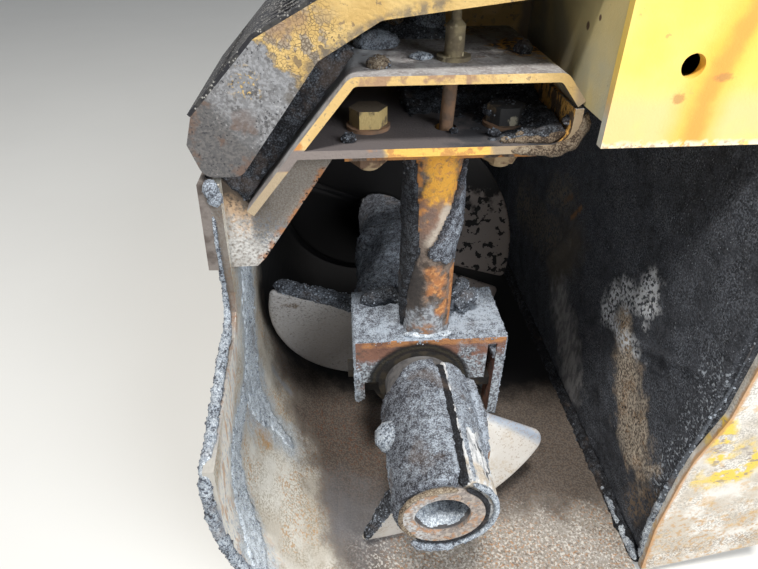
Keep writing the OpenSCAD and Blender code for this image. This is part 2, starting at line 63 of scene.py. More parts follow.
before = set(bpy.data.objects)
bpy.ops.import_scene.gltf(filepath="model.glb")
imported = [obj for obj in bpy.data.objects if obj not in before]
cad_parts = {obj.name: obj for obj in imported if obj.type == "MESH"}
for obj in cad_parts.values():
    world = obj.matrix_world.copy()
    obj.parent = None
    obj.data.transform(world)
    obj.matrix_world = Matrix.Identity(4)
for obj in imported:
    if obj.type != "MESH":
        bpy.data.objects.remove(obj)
cad_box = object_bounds()

SHAFT_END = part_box("shaft_tube")[0].y
SHAFT_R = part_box("shaft_tube")[1].x
HUB_R = 0.0501
FLIGHT_R = 0.178
PITCH = 0.305


def at(x, y, z):
    """A point given in millimetres, with y counted inboard from the shaft's outer end."""
    return (x / 1000, y / 1000 + SHAFT_END, z / 1000)


# Noise on arrays of points


def hashed(cell, seed):
    """A repeatable number from 0 to 1 for each whole-numbered cell."""
    n = (
        cell[..., 0].astype(np.int64) * 73856093
        ^ cell[..., 1].astype(np.int64) * 19349663
        ^ cell[..., 2].astype(np.int64) * 83492791
        ^ (seed * 2654435)
    )
    n = (n ^ (n >> 13)) * 1274126177
    n = (n ^ (n >> 16)) & 0xFFFFFF
    return n / float(0xFFFFFF)


def waves(points, size, seed=0):
    """Smooth noise from 0 to 1, with features of about the given size."""
    p = np.asarray(points) / size
    base = np.floor(p)
    f = p - base
    f = f * f * (3 - 2 * f)
    total = 0
    for i in (0, 1):
        for j in (0, 1):
            for k in (0, 1):
                weight = (
                    (f[..., 0] if i else 1 - f[..., 0])
                    * (f[..., 1] if j else 1 - f[..., 1])
                    * (f[..., 2] if k else 1 - f[..., 2])
                )
                total = total + weight * hashed(base + np.array([i, j, k]), seed)
    return total


def rough(points, size, seed=0, octaves=3):
    """Noise from 0 to 1 with finer and finer detail."""
    total, share, weight = 0, 0, 1.0
    for i in range(octaves):
        total = total + weight * waves(points, size / 2**i, seed + 17 * i)
        share += weight
        weight *= 0.55
    return total / share


def grains(points, size, seed=0):
    """Rounded grains: 1 at the middle of each grain, falling to 0 between the grains."""
    p = np.asarray(points) / size
    base = np.floor(p)
    best = np.full(p.shape[:-1], 9.0)
    for i in (-1, 0, 1):
        for j in (-1, 0, 1):
            for k in (-1, 0, 1):
                cell = base + np.array([i, j, k])
                seat = cell + np.stack([hashed(cell, seed + s) for s in (1, 2, 3)], -1)
                best = np.minimum(best, ((seat - p) ** 2).sum(-1))
    return np.clip(1 - best, 0, 1)


def ramp(x, low, high):
    """0 below low, 1 above high and a smooth rise between them."""
    t = np.clip((np.asarray(x, float) - low) / (high - low), 0, 1)
    return t * t * (3 - 2 * t)


# Shader node groups and the finishes made from them


def group_shell(name, sockets_in, sockets_out):
    """An empty shader node group with named inputs and outputs, and its two end nodes."""
    tree = bpy.data.node_groups.new(name, "ShaderNodeTree")
    for label, kind, value in sockets_in:
        socket = tree.interface.new_socket(label, in_out="INPUT", socket_type=kind)
        if value is not None:
            socket.default_value = value
    for label, kind in sockets_out:
        tree.interface.new_socket(label, in_out="OUTPUT", socket_type=kind)
    return tree, tree.nodes.new("NodeGroupInput"), tree.nodes.new("NodeGroupOutput")


def feed(tree, socket, value):
    """Puts a number, a vector, a colour or another socket into a socket."""
    if isinstance(value, bpy.types.NodeSocket):
        tree.links.new(value, socket)
    elif value is not None:
        if hasattr(value, "__len__") and len(value) == 3 and len(socket.default_value) == 4:
            value = (*value, 1.0)
        socket.default_value = value


def place(tree, kind, settings, inputs):
    """Adds a node, with its settings and its inputs by name or number."""
    node = tree.nodes.new(kind)
    for key, value in settings.items():
        setattr(node, key, value)
    for key, value in inputs.items():
        feed(tree, node.inputs[key], value)
    return node


def maths(tree, operation, a, b=0.0, c=0.0):
    """One Math node's result."""
    node = place(tree, "ShaderNodeMath", {"operation": operation}, {0: a, 1: b, 2: c})
    return node.outputs[0]


def smooth_step(tree, value, low, high):
    """A smooth rise from 0 at low to 1 at high."""
    settings = {"interpolation_type": "SMOOTHSTEP"}
    node = place(tree, "ShaderNodeMapRange", settings, {"Value": value, "From Min": low, "From Max": high})
    return node.outputs["Result"]


def noise_value(tree, vector, scale, detail=3.0, roughness=0.55):
    """A Noise Texture's value."""
    inputs = {"Vector": vector, "Scale": scale, "Detail": detail, "Roughness": roughness}
    return place(tree, "ShaderNodeTexNoise", {}, inputs).outputs[0]


def make_mottle_group():
    """Cloudy patches: noise cut between two levels."""
    tree, inner, outer = group_shell(
        "Mottle",
        [
            ("Place", "NodeSocketVector", None),
            ("Stretch", "NodeSocketVector", (1, 1, 1)),
            ("Scale", "NodeSocketFloat", 20.0),
            ("Low", "NodeSocketFloat", 0.4),
            ("High", "NodeSocketFloat", 0.6),
            ("Detail", "NodeSocketFloat", 4.0),
        ],
        [("Mask", "NodeSocketFloat")],
    )
    put = inner.outputs
    stretched = place(
        tree, "ShaderNodeVectorMath", {"operation": "MULTIPLY"}, {0: put["Place"], 1: put["Stretch"]}
    )
    value = noise_value(tree, stretched.outputs[0], put["Scale"], put["Detail"])
    feed(tree, outer.inputs[0], smooth_step(tree, value, put["Low"], put["High"]))
    return tree


def make_spot_group():
    """One patch round a point, with its own reach along each axis and a ragged edge."""
    tree, inner, outer = group_shell(
        "Spot",
        [
            ("Place", "NodeSocketVector", None),
            ("Centre", "NodeSocketVector", (0, 0, 0)),
            ("Reach", "NodeSocketVector", (0.05, 0.05, 0.05)),
            ("Soft", "NodeSocketFloat", 0.3),
            ("Ragged", "NodeSocketFloat", 0.4),
            ("Scale", "NodeSocketFloat", 60.0),
        ],
        [("Mask", "NodeSocketFloat")],
    )
    put = inner.outputs
    off = place(tree, "ShaderNodeVectorMath", {"operation": "SUBTRACT"}, {0: put["Place"], 1: put["Centre"]})
    share = place(tree, "ShaderNodeVectorMath", {"operation": "DIVIDE"}, {0: off.outputs[0], 1: put["Reach"]})
    far = place(tree, "ShaderNodeVectorMath", {"operation": "LENGTH"}, {0: share.outputs[0]})
    wobble = maths(tree, "SUBTRACT", noise_value(tree, put["Place"], put["Scale"], 4.0, 0.6), 0.5)
    ragged = maths(tree, "MULTIPLY_ADD", wobble, maths(tree, "MULTIPLY", put["Ragged"], 3.0), far.outputs["Value"])
    low = maths(tree, "SUBTRACT", 1.0, put["Soft"])
    high = maths(tree, "ADD", 1.0, put["Soft"])
    mask = maths(tree, "SUBTRACT", 1.0, smooth_step(tree, ragged, low, high))
    feed(tree, outer.inputs[0], mask)
    return tree


def make_speckle_group():
    """Scattered specks and flakes, thicker in some places than in others."""
    tree, inner, outer = group_shell(
        "Speckle",
        [
            ("Place", "NodeSocketVector", None),
            ("Scale", "NodeSocketFloat", 200.0),
            ("Share", "NodeSocketFloat", 0.3),
            ("Patchy", "NodeSocketFloat", 0.5),
            ("Patch Scale", "NodeSocketFloat", 12.0),
        ],
        [("Mask", "NodeSocketFloat")],
    )
    put = inner.outputs
    cells = place(tree, "ShaderNodeTexVoronoi", {"feature": "F1"}, {"Vector": put["Place"], "Scale": put["Scale"]})
    pick = place(tree, "ShaderNodeSeparateColor", {}, {0: cells.outputs["Color"]}).outputs[0]
    cloud = maths(tree, "SUBTRACT", noise_value(tree, put["Place"], put["Patch Scale"], 3.0), 0.5)
    share = maths(tree, "MULTIPLY_ADD", cloud, maths(tree, "MULTIPLY", put["Patchy"], 2.0), put["Share"])
    chosen = smooth_step(tree, maths(tree, "SUBTRACT", share, pick), -0.04, 0.04)
    shape = maths(tree, "SUBTRACT", 1.0, smooth_step(tree, cells.outputs["Distance"], 0.3, 0.62))
    feed(tree, outer.inputs[0], maths(tree, "MULTIPLY", chosen, shape))
    return tree


def make_band_group():
    """A band between two values of one coordinate, with a ragged edge."""
    tree, inner, outer = group_shell(
        "Band",
        [
            ("Place", "NodeSocketVector", None),
            ("Value", "NodeSocketFloat", 0.0),
            ("From", "NodeSocketFloat", 0.0),
            ("To", "NodeSocketFloat", 1.0),
            ("Soft", "NodeSocketFloat", 0.002),
            ("Ragged", "NodeSocketFloat", 0.0),
            ("Scale", "NodeSocketFloat", 60.0),
        ],
        [("Mask", "NodeSocketFloat")],
    )
    put = inner.outputs
    wobble = maths(tree, "SUBTRACT", noise_value(tree, put["Place"], put["Scale"], 4.0, 0.6), 0.5)
    value = maths(tree, "MULTIPLY_ADD", wobble, maths(tree, "MULTIPLY", put["Ragged"], 3.0), put["Value"])
    rise = smooth_step(
        tree, value, maths(tree, "SUBTRACT", put["From"], put["Soft"]), maths(tree, "ADD", put["From"], put["Soft"])
    )
    fall = smooth_step(
        tree, value, maths(tree, "SUBTRACT", put["To"], put["Soft"]), maths(tree, "ADD", put["To"], put["Soft"])
    )
    feed(tree, outer.inputs[0], maths(tree, "MULTIPLY", rise, maths(tree, "SUBTRACT", 1.0, fall)))
    return tree


def make_facing_group():
    """How squarely the surface faces a direction, cut between two levels."""
    tree, inner, outer = group_shell(
        "Facing",
        [
            ("Normal", "NodeSocketVector", None),
            ("Direction", "NodeSocketVector", (0, 0, 1)),
            ("Low", "NodeSocketFloat", 0.3),
            ("High", "NodeSocketFloat", 0.8),
        ],
        [("Mask", "NodeSocketFloat")],
    )
    put = inner.outputs
    dot = place(tree, "ShaderNodeVectorMath", {"operation": "DOT_PRODUCT"}, {0: put["Normal"], 1: put["Direction"]})
    feed(tree, outer.inputs[0], smooth_step(tree, dot.outputs["Value"], put["Low"], put["High"]))
    return tree


def make_trail_group():
    """A streak along the line between two points, with a ragged edge."""
    tree, inner, outer = group_shell(
        "Trail",
        [
            ("Place", "NodeSocketVector", None),
            ("Start", "NodeSocketVector", (0, 0, 0)),
            ("End", "NodeSocketVector", (0, 0, 0.1)),
            ("Reach", "NodeSocketFloat", 0.01),
            ("Soft", "NodeSocketFloat", 0.5),
            ("Ragged", "NodeSocketFloat", 0.4),
            ("Scale", "NodeSocketFloat", 60.0),
        ],
        [("Mask", "NodeSocketFloat")],
    )
    put = inner.outputs

    def v(operation, a, b=None, output=0, **more):
        inputs = {0: a} if b is None else {0: a, 1: b}
        return place(tree, "ShaderNodeVectorMath", {"operation": operation}, {**inputs, **more}).outputs[output]

    off, run = v("SUBTRACT", put["Place"], put["Start"]), v("SUBTRACT", put["End"], put["Start"])
    share = maths(tree, "DIVIDE", v("DOT_PRODUCT", off, run, "Value"), v("DOT_PRODUCT", run, run, "Value"))
    share = maths(tree, "MINIMUM", maths(tree, "MAXIMUM", share, 0.0), 1.0)
    foot = v("SCALE", run, Scale=share)
    far = maths(tree, "DIVIDE", v("LENGTH", v("SUBTRACT", off, foot), None, "Value"), put["Reach"])
    wobble = maths(tree, "SUBTRACT", noise_value(tree, put["Place"], put["Scale"], 4.0, 0.6), 0.5)
    ragged = maths(tree, "MULTIPLY_ADD", wobble, maths(tree, "MULTIPLY", put["Ragged"], 3.0), far)
    low, high = maths(tree, "SUBTRACT", 1.0, put["Soft"]), maths(tree, "ADD", 1.0, put["Soft"])
    feed(tree, outer.inputs[0], maths(tree, "SUBTRACT", 1.0, smooth_step(tree, ragged, low, high)))
    return tree


def make_crackle_group():
    """Thin cracks between flakes of paint, thicker in some places than in others."""
    tree, inner, outer = group_shell(
        "Crackle",
        [
            ("Place", "NodeSocketVector", None),
            ("Scale", "NodeSocketFloat", 90.0),
            ("Width", "NodeSocketFloat", 0.06),
            ("Patch Scale", "NodeSocketFloat", 25.0),
            ("Patchy", "NodeSocketFloat", 0.5),
        ],
        [("Mask", "NodeSocketFloat")],
    )
    put = inner.outputs
    drift = place(tree, "ShaderNodeTexNoise", {}, {"Vector": put["Place"], "Scale": 70.0, "Detail": 3.0})
    shift = place(
        tree, "ShaderNodeVectorMath", {"operation": "SCALE"}, {0: drift.outputs["Color"], "Scale": 0.012}
    )
    bent = place(tree, "ShaderNodeVectorMath", {"operation": "ADD"}, {0: put["Place"], 1: shift.outputs[0]})
    cells = place(
        tree,
        "ShaderNodeTexVoronoi",
        {"feature": "DISTANCE_TO_EDGE"},
        {"Vector": bent.outputs[0], "Scale": put["Scale"]},
    )
    cloud = maths(tree, "SUBTRACT", noise_value(tree, put["Place"], put["Patch Scale"], 3.0), 0.5)
    width = maths(tree, "MULTIPLY", put["Width"], maths(tree, "MULTIPLY_ADD", cloud, maths(tree, "MULTIPLY", put["Patchy"], 8.0), 1.0))
    half = maths(tree, "MULTIPLY", width, 0.4)
    feed(tree, outer.inputs[0], maths(tree, "SUBTRACT", 1.0, smooth_step(tree, cells.outputs["Distance"], half, width)))
    return tree


def make_grit_group():
    """Packed grit: a height for the bump, and the same grit as a contrasty mask."""
    tree, inner, outer = group_shell(
        "Grit",
        [
            ("Place", "NodeSocketVector", None),
            ("Scale", "NodeSocketFloat", 260.0),
            ("Lumps", "NodeSocketFloat", 60.0),
        ],
        [("Height", "NodeSocketFloat"), ("Mask", "NodeSocketFloat")],
    )
    put = inner.outputs
    grain = place(tree, "ShaderNodeTexVoronoi", {"feature": "F1"}, {"Vector": put["Place"], "Scale": put["Scale"]})
    fine = noise_value(tree, put["Place"], maths(tree, "MULTIPLY", put["Scale"], 1.7), 5.0, 0.75)
    lumps = noise_value(tree, put["Place"], put["Lumps"], 4.0, 0.6)
    height = maths(tree, "MULTIPLY_ADD", fine, 1.6, maths(tree, "MULTIPLY", grain.outputs["Distance"], -0.7))
    height = maths(tree, "MULTIPLY_ADD", lumps, 1.3, height)
    feed(tree, outer.inputs["Height"], height)
    feed(tree, outer.inputs["Mask"], smooth_step(tree, height, 0.65, 1.5))
    return tree


GROUP_MAKERS = {
    "Mottle": make_mottle_group,
    "Spot": make_spot_group,
    "Speckle": make_speckle_group,
    "Band": make_band_group,
    "Facing": make_facing_group,
    "Trail": make_trail_group,
    "Crackle": make_crackle_group,
    "Grit": make_grit_group,
}


def shared(name):
    """The shader node group of that name, built the first time that a finish needs it."""
    return bpy.data.node_groups.get(name) or GROUP_MAKERS[name]()


class Finish:
    """A material built up in layers: each layer lays a colour and a roughness over the ones before."""

    def __init__(self, name, color, roughness=0.8, metallic=0.0):
        self.material = bpy.data.materials.new(name)
        self.material.use_nodes = True
        self.tree = self.material.node_tree
        self.shader = self.tree.nodes["Principled BSDF"]
        where = self.tree.nodes.new("ShaderNodeTexCoord")
        self.place, self.normal = where.outputs["Object"], where.outputs["Normal"]
        parts = place(self.tree, "ShaderNodeSeparateXYZ", {}, {0: self.place}).outputs
        self.axis = {"x": parts[0], "y": parts[1], "z": parts[2]}
        self.color, self.roughness, self.height = color, roughness, None
        self.shader.inputs["Metallic"].default_value = metallic
        self.shader.inputs["Specular IOR Level"].default_value = 0.35

    def use(self, group, output=0, **inputs):
        """One shared node group, with its inputs given by name."""
        node = self.tree.nodes.new("ShaderNodeGroup")
        node.node_tree = shared(group)
        if "Place" in node.inputs:
            self.tree.links.new(self.place, node.inputs["Place"])
        for key, value in inputs.items():
            feed(self.tree, node.inputs[key.replace("_", " ")], value)
        return node.outputs[output]

    def mottle(self, scale, low=0.4, high=0.6, stretch=(1, 1, 1), detail=4.0):
        return self.use("Mottle", Scale=scale, Low=low, High=high, Stretch=stretch, Detail=detail)

    def spot(self, centre, reach, soft=0.3, ragged=0.4, scale=60.0):
        """A patch round a point given in millimetres from the shaft's outer end."""
        size = tuple(r / 1000 for r in reach)
        return self.use("Spot", Centre=at(*centre), Reach=size, Soft=soft, Ragged=ragged, Scale=scale)

    def trail(self, points, reach, soft=0.5, ragged=0.4, scale=60.0):
        """A streak through points given like a spot's."""
        parts = [
            self.use("Trail", Start=at(*a), End=at(*b), Reach=reach / 1000, Soft=soft, Ragged=ragged, Scale=scale)
            for a, b in zip(points[:-1], points[1:])
        ]
        return self.either(*parts)

    def crackle(self, scale=90.0, width=0.06, patchy=0.5, patch_scale=25.0):
        return self.use("Crackle", Scale=scale, Width=width, Patchy=patchy, Patch_Scale=patch_scale)

    def speckle(self, scale, share, patchy=0.5, patch_scale=12.0):
        return self.use("Speckle", Scale=scale, Share=share, Patchy=patchy, Patch_Scale=patch_scale)

    def band(self, axis, low, high, soft=2.0, ragged=0.0, scale=60.0):
        """A band along x, y or z, in millimetres, with y counted from the shaft's outer end."""
        off = SHAFT_END if axis == "y" else 0.0
        return self.use(
            "Band",
            Value=self.axis[axis],
            From=low / 1000 + off,
            To=high / 1000 + off,
            Soft=soft / 1000,
            Ragged=ragged / 1000,
            Scale=scale,
        )

    def line(self, point, direction, low, high, soft=2.0, ragged=0.0, scale=60.0):
        """A band across any direction, in millimetres from a point."""
        node = place(
            self.tree, "ShaderNodeVectorMath", {"operation": "SUBTRACT"}, {0: self.place, 1: at(*point)}
        )
        length = math.sqrt(sum(c * c for c in direction))
        unit = tuple(c / length for c in direction)
        dot = place(self.tree, "ShaderNodeVectorMath", {"operation": "DOT_PRODUCT"}, {0: node.outputs[0], 1: unit})
        return self.use(
            "Band",
            Value=dot.outputs["Value"],
            From=low / 1000,
            To=high / 1000,
            Soft=soft / 1000,
            Ragged=ragged / 1000,
            Scale=scale,
        )

    def facing(self, direction, low=0.3, high=0.8):
        return self.use("Facing", Normal=self.normal, Direction=direction, Low=low, High=high)

    def both(self, *masks):
        result = masks[0]
        for mask in masks[1:]:
            result = maths(self.tree, "MULTIPLY", result, mask)
        return result

    def either(self, *masks):
        result = masks[0]
        for mask in masks[1:]:
            result = maths(self.tree, "MAXIMUM", result, mask)
        return result

    def without(self, mask):
        return maths(self.tree, "SUBTRACT", 1.0, mask)

    def layer(self, color, mask, roughness=None):
        """Lays a colour, and a roughness if one is given, over what is there."""
        node = self.tree.nodes.new("ShaderNodeMix")
        node.data_type = "RGBA"
        feed(self.tree, node.inputs["Factor"], mask)
        feed(self.tree, node.inputs[6], self.color)
        feed(self.tree, node.inputs[7], color)
        self.color = node.outputs[2]
        if roughness is not None:
            mixed = self.tree.nodes.new("ShaderNodeMix")
            feed(self.tree, mixed.inputs["Factor"], mask)
            feed(self.tree, mixed.inputs[2], self.roughness)
            feed(self.tree, mixed.inputs[3], roughness)
            self.roughness = mixed.outputs[0]
        return self

    def raise_by(self, height):
        """Adds to the height that the bump shows, in millimetres."""
        self.height = height if self.height is None else maths(self.tree, "ADD", self.height, height)
        return self

    def scaled(self, mask, amount):
        return maths(self.tree, "MULTIPLY", mask, amount)

    def grit(self, scale=220.0, lumps=60.0):
        """The height and the mask of packed grit."""
        node = self.tree.nodes.new("ShaderNodeGroup")
        node.node_tree = shared("Grit")
        self.tree.links.new(self.place, node.inputs["Place"])
        node.inputs["Scale"].default_value = scale
        node.inputs["Lumps"].default_value = lumps
        return node.outputs["Height"], node.outputs["Mask"]

    def done(self, strength=1.0):
        """Joins the layers to the shader and gives the material."""
        feed(self.tree, self.shader.inputs["Base Color"], self.color)
        feed(self.tree, self.shader.inputs["Roughness"], self.roughness)
        if self.height is not None:
            bump = place(
                self.tree, "ShaderNodeBump", {}, {"Height": self.height, "Distance": 0.001, "Strength": strength}
            )
            self.tree.links.new(bump.outputs[0], self.shader.inputs["Normal"])
        return self.material


# Meshes


def new_piece(name, points, faces, material, body, smooth=True):
    """A mesh object in the model's frame that rides on a body and has one material."""
    mesh = bpy.data.meshes.new(name)
    mesh.from_pydata(np.asarray(points, float).tolist(), [], [list(map(int, f)) for f in faces])
    mesh.materials.append(material)
    mesh.shade_smooth() if smooth else mesh.shade_flat()
    mesh.update()
    piece = bpy.data.objects.new(name, mesh)
    bpy.context.scene.collection.objects.link(piece)
    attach(piece, body)
    return piece


def tone_of(piece, values):
    """Stores a light or dark tone on each point, for the material to read."""
    attribute = piece.data.attributes.new("tone", "FLOAT", "POINT")
    attribute.data.foreach_set("value", np.asarray(values, np.float32))


def shell(points, normals, thick, sink=0.0015, wrap=False):
    """A closed crust on a grid of surface points, where the thickness is above zero.

    Gives the points, the faces and, for each point, its grid place. Below the surface it reaches
    down by sink, so that no gap shows under its edge."""
    nu, nv = thick.shape
    outer = points + normals * np.maximum(thick, 0.0)[..., None]
    inner = points - normals * sink
    rows = nu if wrap else nu - 1
    i, j = np.meshgrid(np.arange(rows), np.arange(nv - 1), indexing="ij")
    i2 = (i + 1) % nu
    corners = np.stack([i * nv + j, i2 * nv + j, i2 * nv + j + 1, i * nv + j + 1], -1)
    kept = (thick.reshape(-1)[corners] > 0).all(-1)
    a, b, d = outer[0, 0], outer[1, 0], outer[0, 1]
    if np.dot(np.cross(b - a, d - a), normals[0, 0]) < 0:
        corners = corners[..., ::-1]
    faces = corners[kept]
    count = nu * nv
    edges = np.concatenate([faces[:, [k, (k + 1) % 4]] for k in range(4)])
    back = {(int(q), int(p)) for p, q in edges}
    rim = [(p, q) for p, q in edges.tolist() if (p, q) not in back]
    sides = [[q, p, p + count, q + count] for p, q in rim]
    every = [*faces.tolist(), *(faces[:, ::-1] + count).tolist(), *sides]
    both = np.concatenate([outer.reshape(-1, 3), inner.reshape(-1, 3)])
    used = np.unique(np.array([k for f in every for k in f]))
    new = np.full(len(both), -1)
    new[used] = np.arange(len(used))
    return both[used], [[new[k] for k in f] for f in every], used % count


SKINS = {"frame": [], "auger": []}


def caked(name, points, normals, thick, material, body, tone=None, sink=0.0015, wrap=False, crumbs=1.0):
    """A crust of asphalt on a surface, with the tone that its material reads."""
    places, faces, source = shell(points, normals, thick, sink, wrap)
    piece = new_piece(name, places, faces, material, body)
    flat = np.full(thick.size, 0.5) if tone is None else np.broadcast_to(tone, thick.shape).reshape(-1)
    tone_of(piece, flat[source])
    if crumbs > 0:
        SKINS[body].append((piece, crumbs))
    return piece


def round_bar(angles, lengths, radius, centre=(0.0, 0.0)):
    """A grid on a cylinder along the screw axis: points and outward normals."""
    a, y = np.meshgrid(np.radians(angles), lengths, indexing="ij")
    normals = np.stack([np.cos(a), np.zeros_like(a), np.sin(a)], -1)
    points = normals * radius + np.stack([np.full_like(a, centre[0]), y, np.full_like(a, centre[1])], -1)
    return points, normals


def draped(path, lengths, round_by=0.012, step=0.002):
    """A grid along a path in X and Z, carried along Y, with its corners' normals turned smoothly.

    The path's outside is on its left."""
    path = np.array(path, float) / 1000
    pieces = []
    for p, q in zip(path[:-1], path[1:]):
        n = max(2, int(np.linalg.norm(q - p) / step))
        pieces.append(p + (q - p) * np.linspace(0, 1, n, endpoint=False)[:, None])
    line = np.concatenate([*pieces, path[-1:]])
    way = np.gradient(line, axis=0)
    side = np.stack([-way[:, 1], way[:, 0]], -1)
    side /= np.linalg.norm(side, axis=1)[:, None]
    reach = max(1, int(round_by / step))
    window = np.ones(2 * reach + 1) / (2 * reach + 1)
    padded = np.pad(side, ((reach, reach), (0, 0)), mode="edge")
    side = np.stack([np.convolve(padded[:, k], window, "valid") for k in (0, 1)], -1)
    side /= np.linalg.norm(side, axis=1)[:, None]
    u = np.concatenate([[0], np.cumsum(np.linalg.norm(np.diff(line, axis=0), axis=1))])
    grid_u, y = np.meshgrid(u, lengths, indexing="ij")
    x = np.repeat(line[:, :1], len(lengths), 1)
    z = np.repeat(line[:, 1:], len(lengths), 1)
    points = np.stack([x, y, z], -1)
    normals = np.stack([np.repeat(side[:, :1], len(lengths), 1), np.zeros_like(x), np.repeat(side[:, 1:], len(lengths), 1)], -1)
    return points, normals, grid_u


def ball(name, centre, radii, material, body, seed, tone=0.6, rings=24):
    """A lumpy clod of asphalt."""
    points, faces = [], []
    for i in range(rings + 1):
        for j in range(2 * rings):
            a, b = math.pi * i / rings, math.pi * j / rings
            points.append((math.sin(a) * math.cos(b), math.sin(a) * math.sin(b), math.cos(a)))
    for i in range(rings):
        for j in range(2 * rings):
            k = (j + 1) % (2 * rings)
            faces.append((i * 2 * rings + j, (i + 1) * 2 * rings + j, (i + 1) * 2 * rings + k, i * 2 * rings + k))
    unit = np.array(points)
    radii = np.array(radii) / 1000
    swell = 0.78 + 0.3 * rough(unit * radii, radii.mean() * 0.9, seed) + 0.16 * grains(unit * radii, 0.0035, seed)
    places = np.array(at(*centre)) + unit * radii * swell[:, None]
    piece = new_piece(name, places, faces, material, body)
    work = bmesh.new()
    work.from_mesh(piece.data)
    bmesh.ops.remove_doubles(work, verts=work.verts, dist=1e-6)
    bmesh.ops.recalc_face_normals(work, faces=work.faces)
    work.to_mesh(piece.data)
    work.free()
    tone_of(piece, np.full(len(piece.data.vertices), tone))
    SKINS[body].append((piece, 1.0))
    return piece


def plain_copy(thing, name, body):
    """Turns an object with a geometry modifier into a plain mesh that rides on a body."""
    view = bpy.context.evaluated_depsgraph_get()
    mesh = bpy.data.meshes.new_from_object(thing.evaluated_get(view))
    bpy.data.objects.remove(thing)
    mesh.name = name
    piece = bpy.data.objects.new(name, mesh)
    bpy.context.scene.collection.objects.link(piece)
    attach(piece, body)
    return piece


def geometry_tree(name, sockets):
    """An empty geometry node tree with named inputs."""
    tree = bpy.data.node_groups.new(name, "GeometryNodeTree")
    tree.interface.new_socket("Geometry", in_out="OUTPUT", socket_type="NodeSocketGeometry")
    tree.interface.new_socket("Geometry", in_out="INPUT", socket_type="NodeSocketGeometry")
    for label, kind, value in sockets:
        socket = tree.interface.new_socket(label, in_out="INPUT", socket_type=kind)
        if value is not None:
            socket.default_value = value
    return tree, tree.nodes.new("NodeGroupInput"), tree.nodes.new("NodeGroupOutput")


def grown(tree, values, source=None):
    """A new object whose geometry modifier has the given inputs."""
    mesh = source if source is not None else bpy.data.meshes.new("seed")
    thing = bpy.data.objects.new("grown", mesh)
    bpy.context.scene.collection.objects.link(thing)
    modifier = thing.modifiers.new("grow", "NODES")
    modifier.node_group = tree
    for item in tree.interface.items_tree:
        if item.item_type == "SOCKET" and item.in_out == "INPUT" and item.name in values:
            modifier[item.identifier] = values[item.name]
    return thing


def finish_tree(tree, outer, geometry, material):
    """Ends a geometry tree in Realize Instances and Set Material."""
    real = place(tree, "GeometryNodeRealizeInstances", {}, {"Geometry": geometry})
    dressed = place(tree, "GeometryNodeSetMaterial", {}, {"Geometry": real.outputs[0], "Material": material})
    feed(tree, outer.inputs["Geometry"], dressed.outputs[0])


# Screw flights


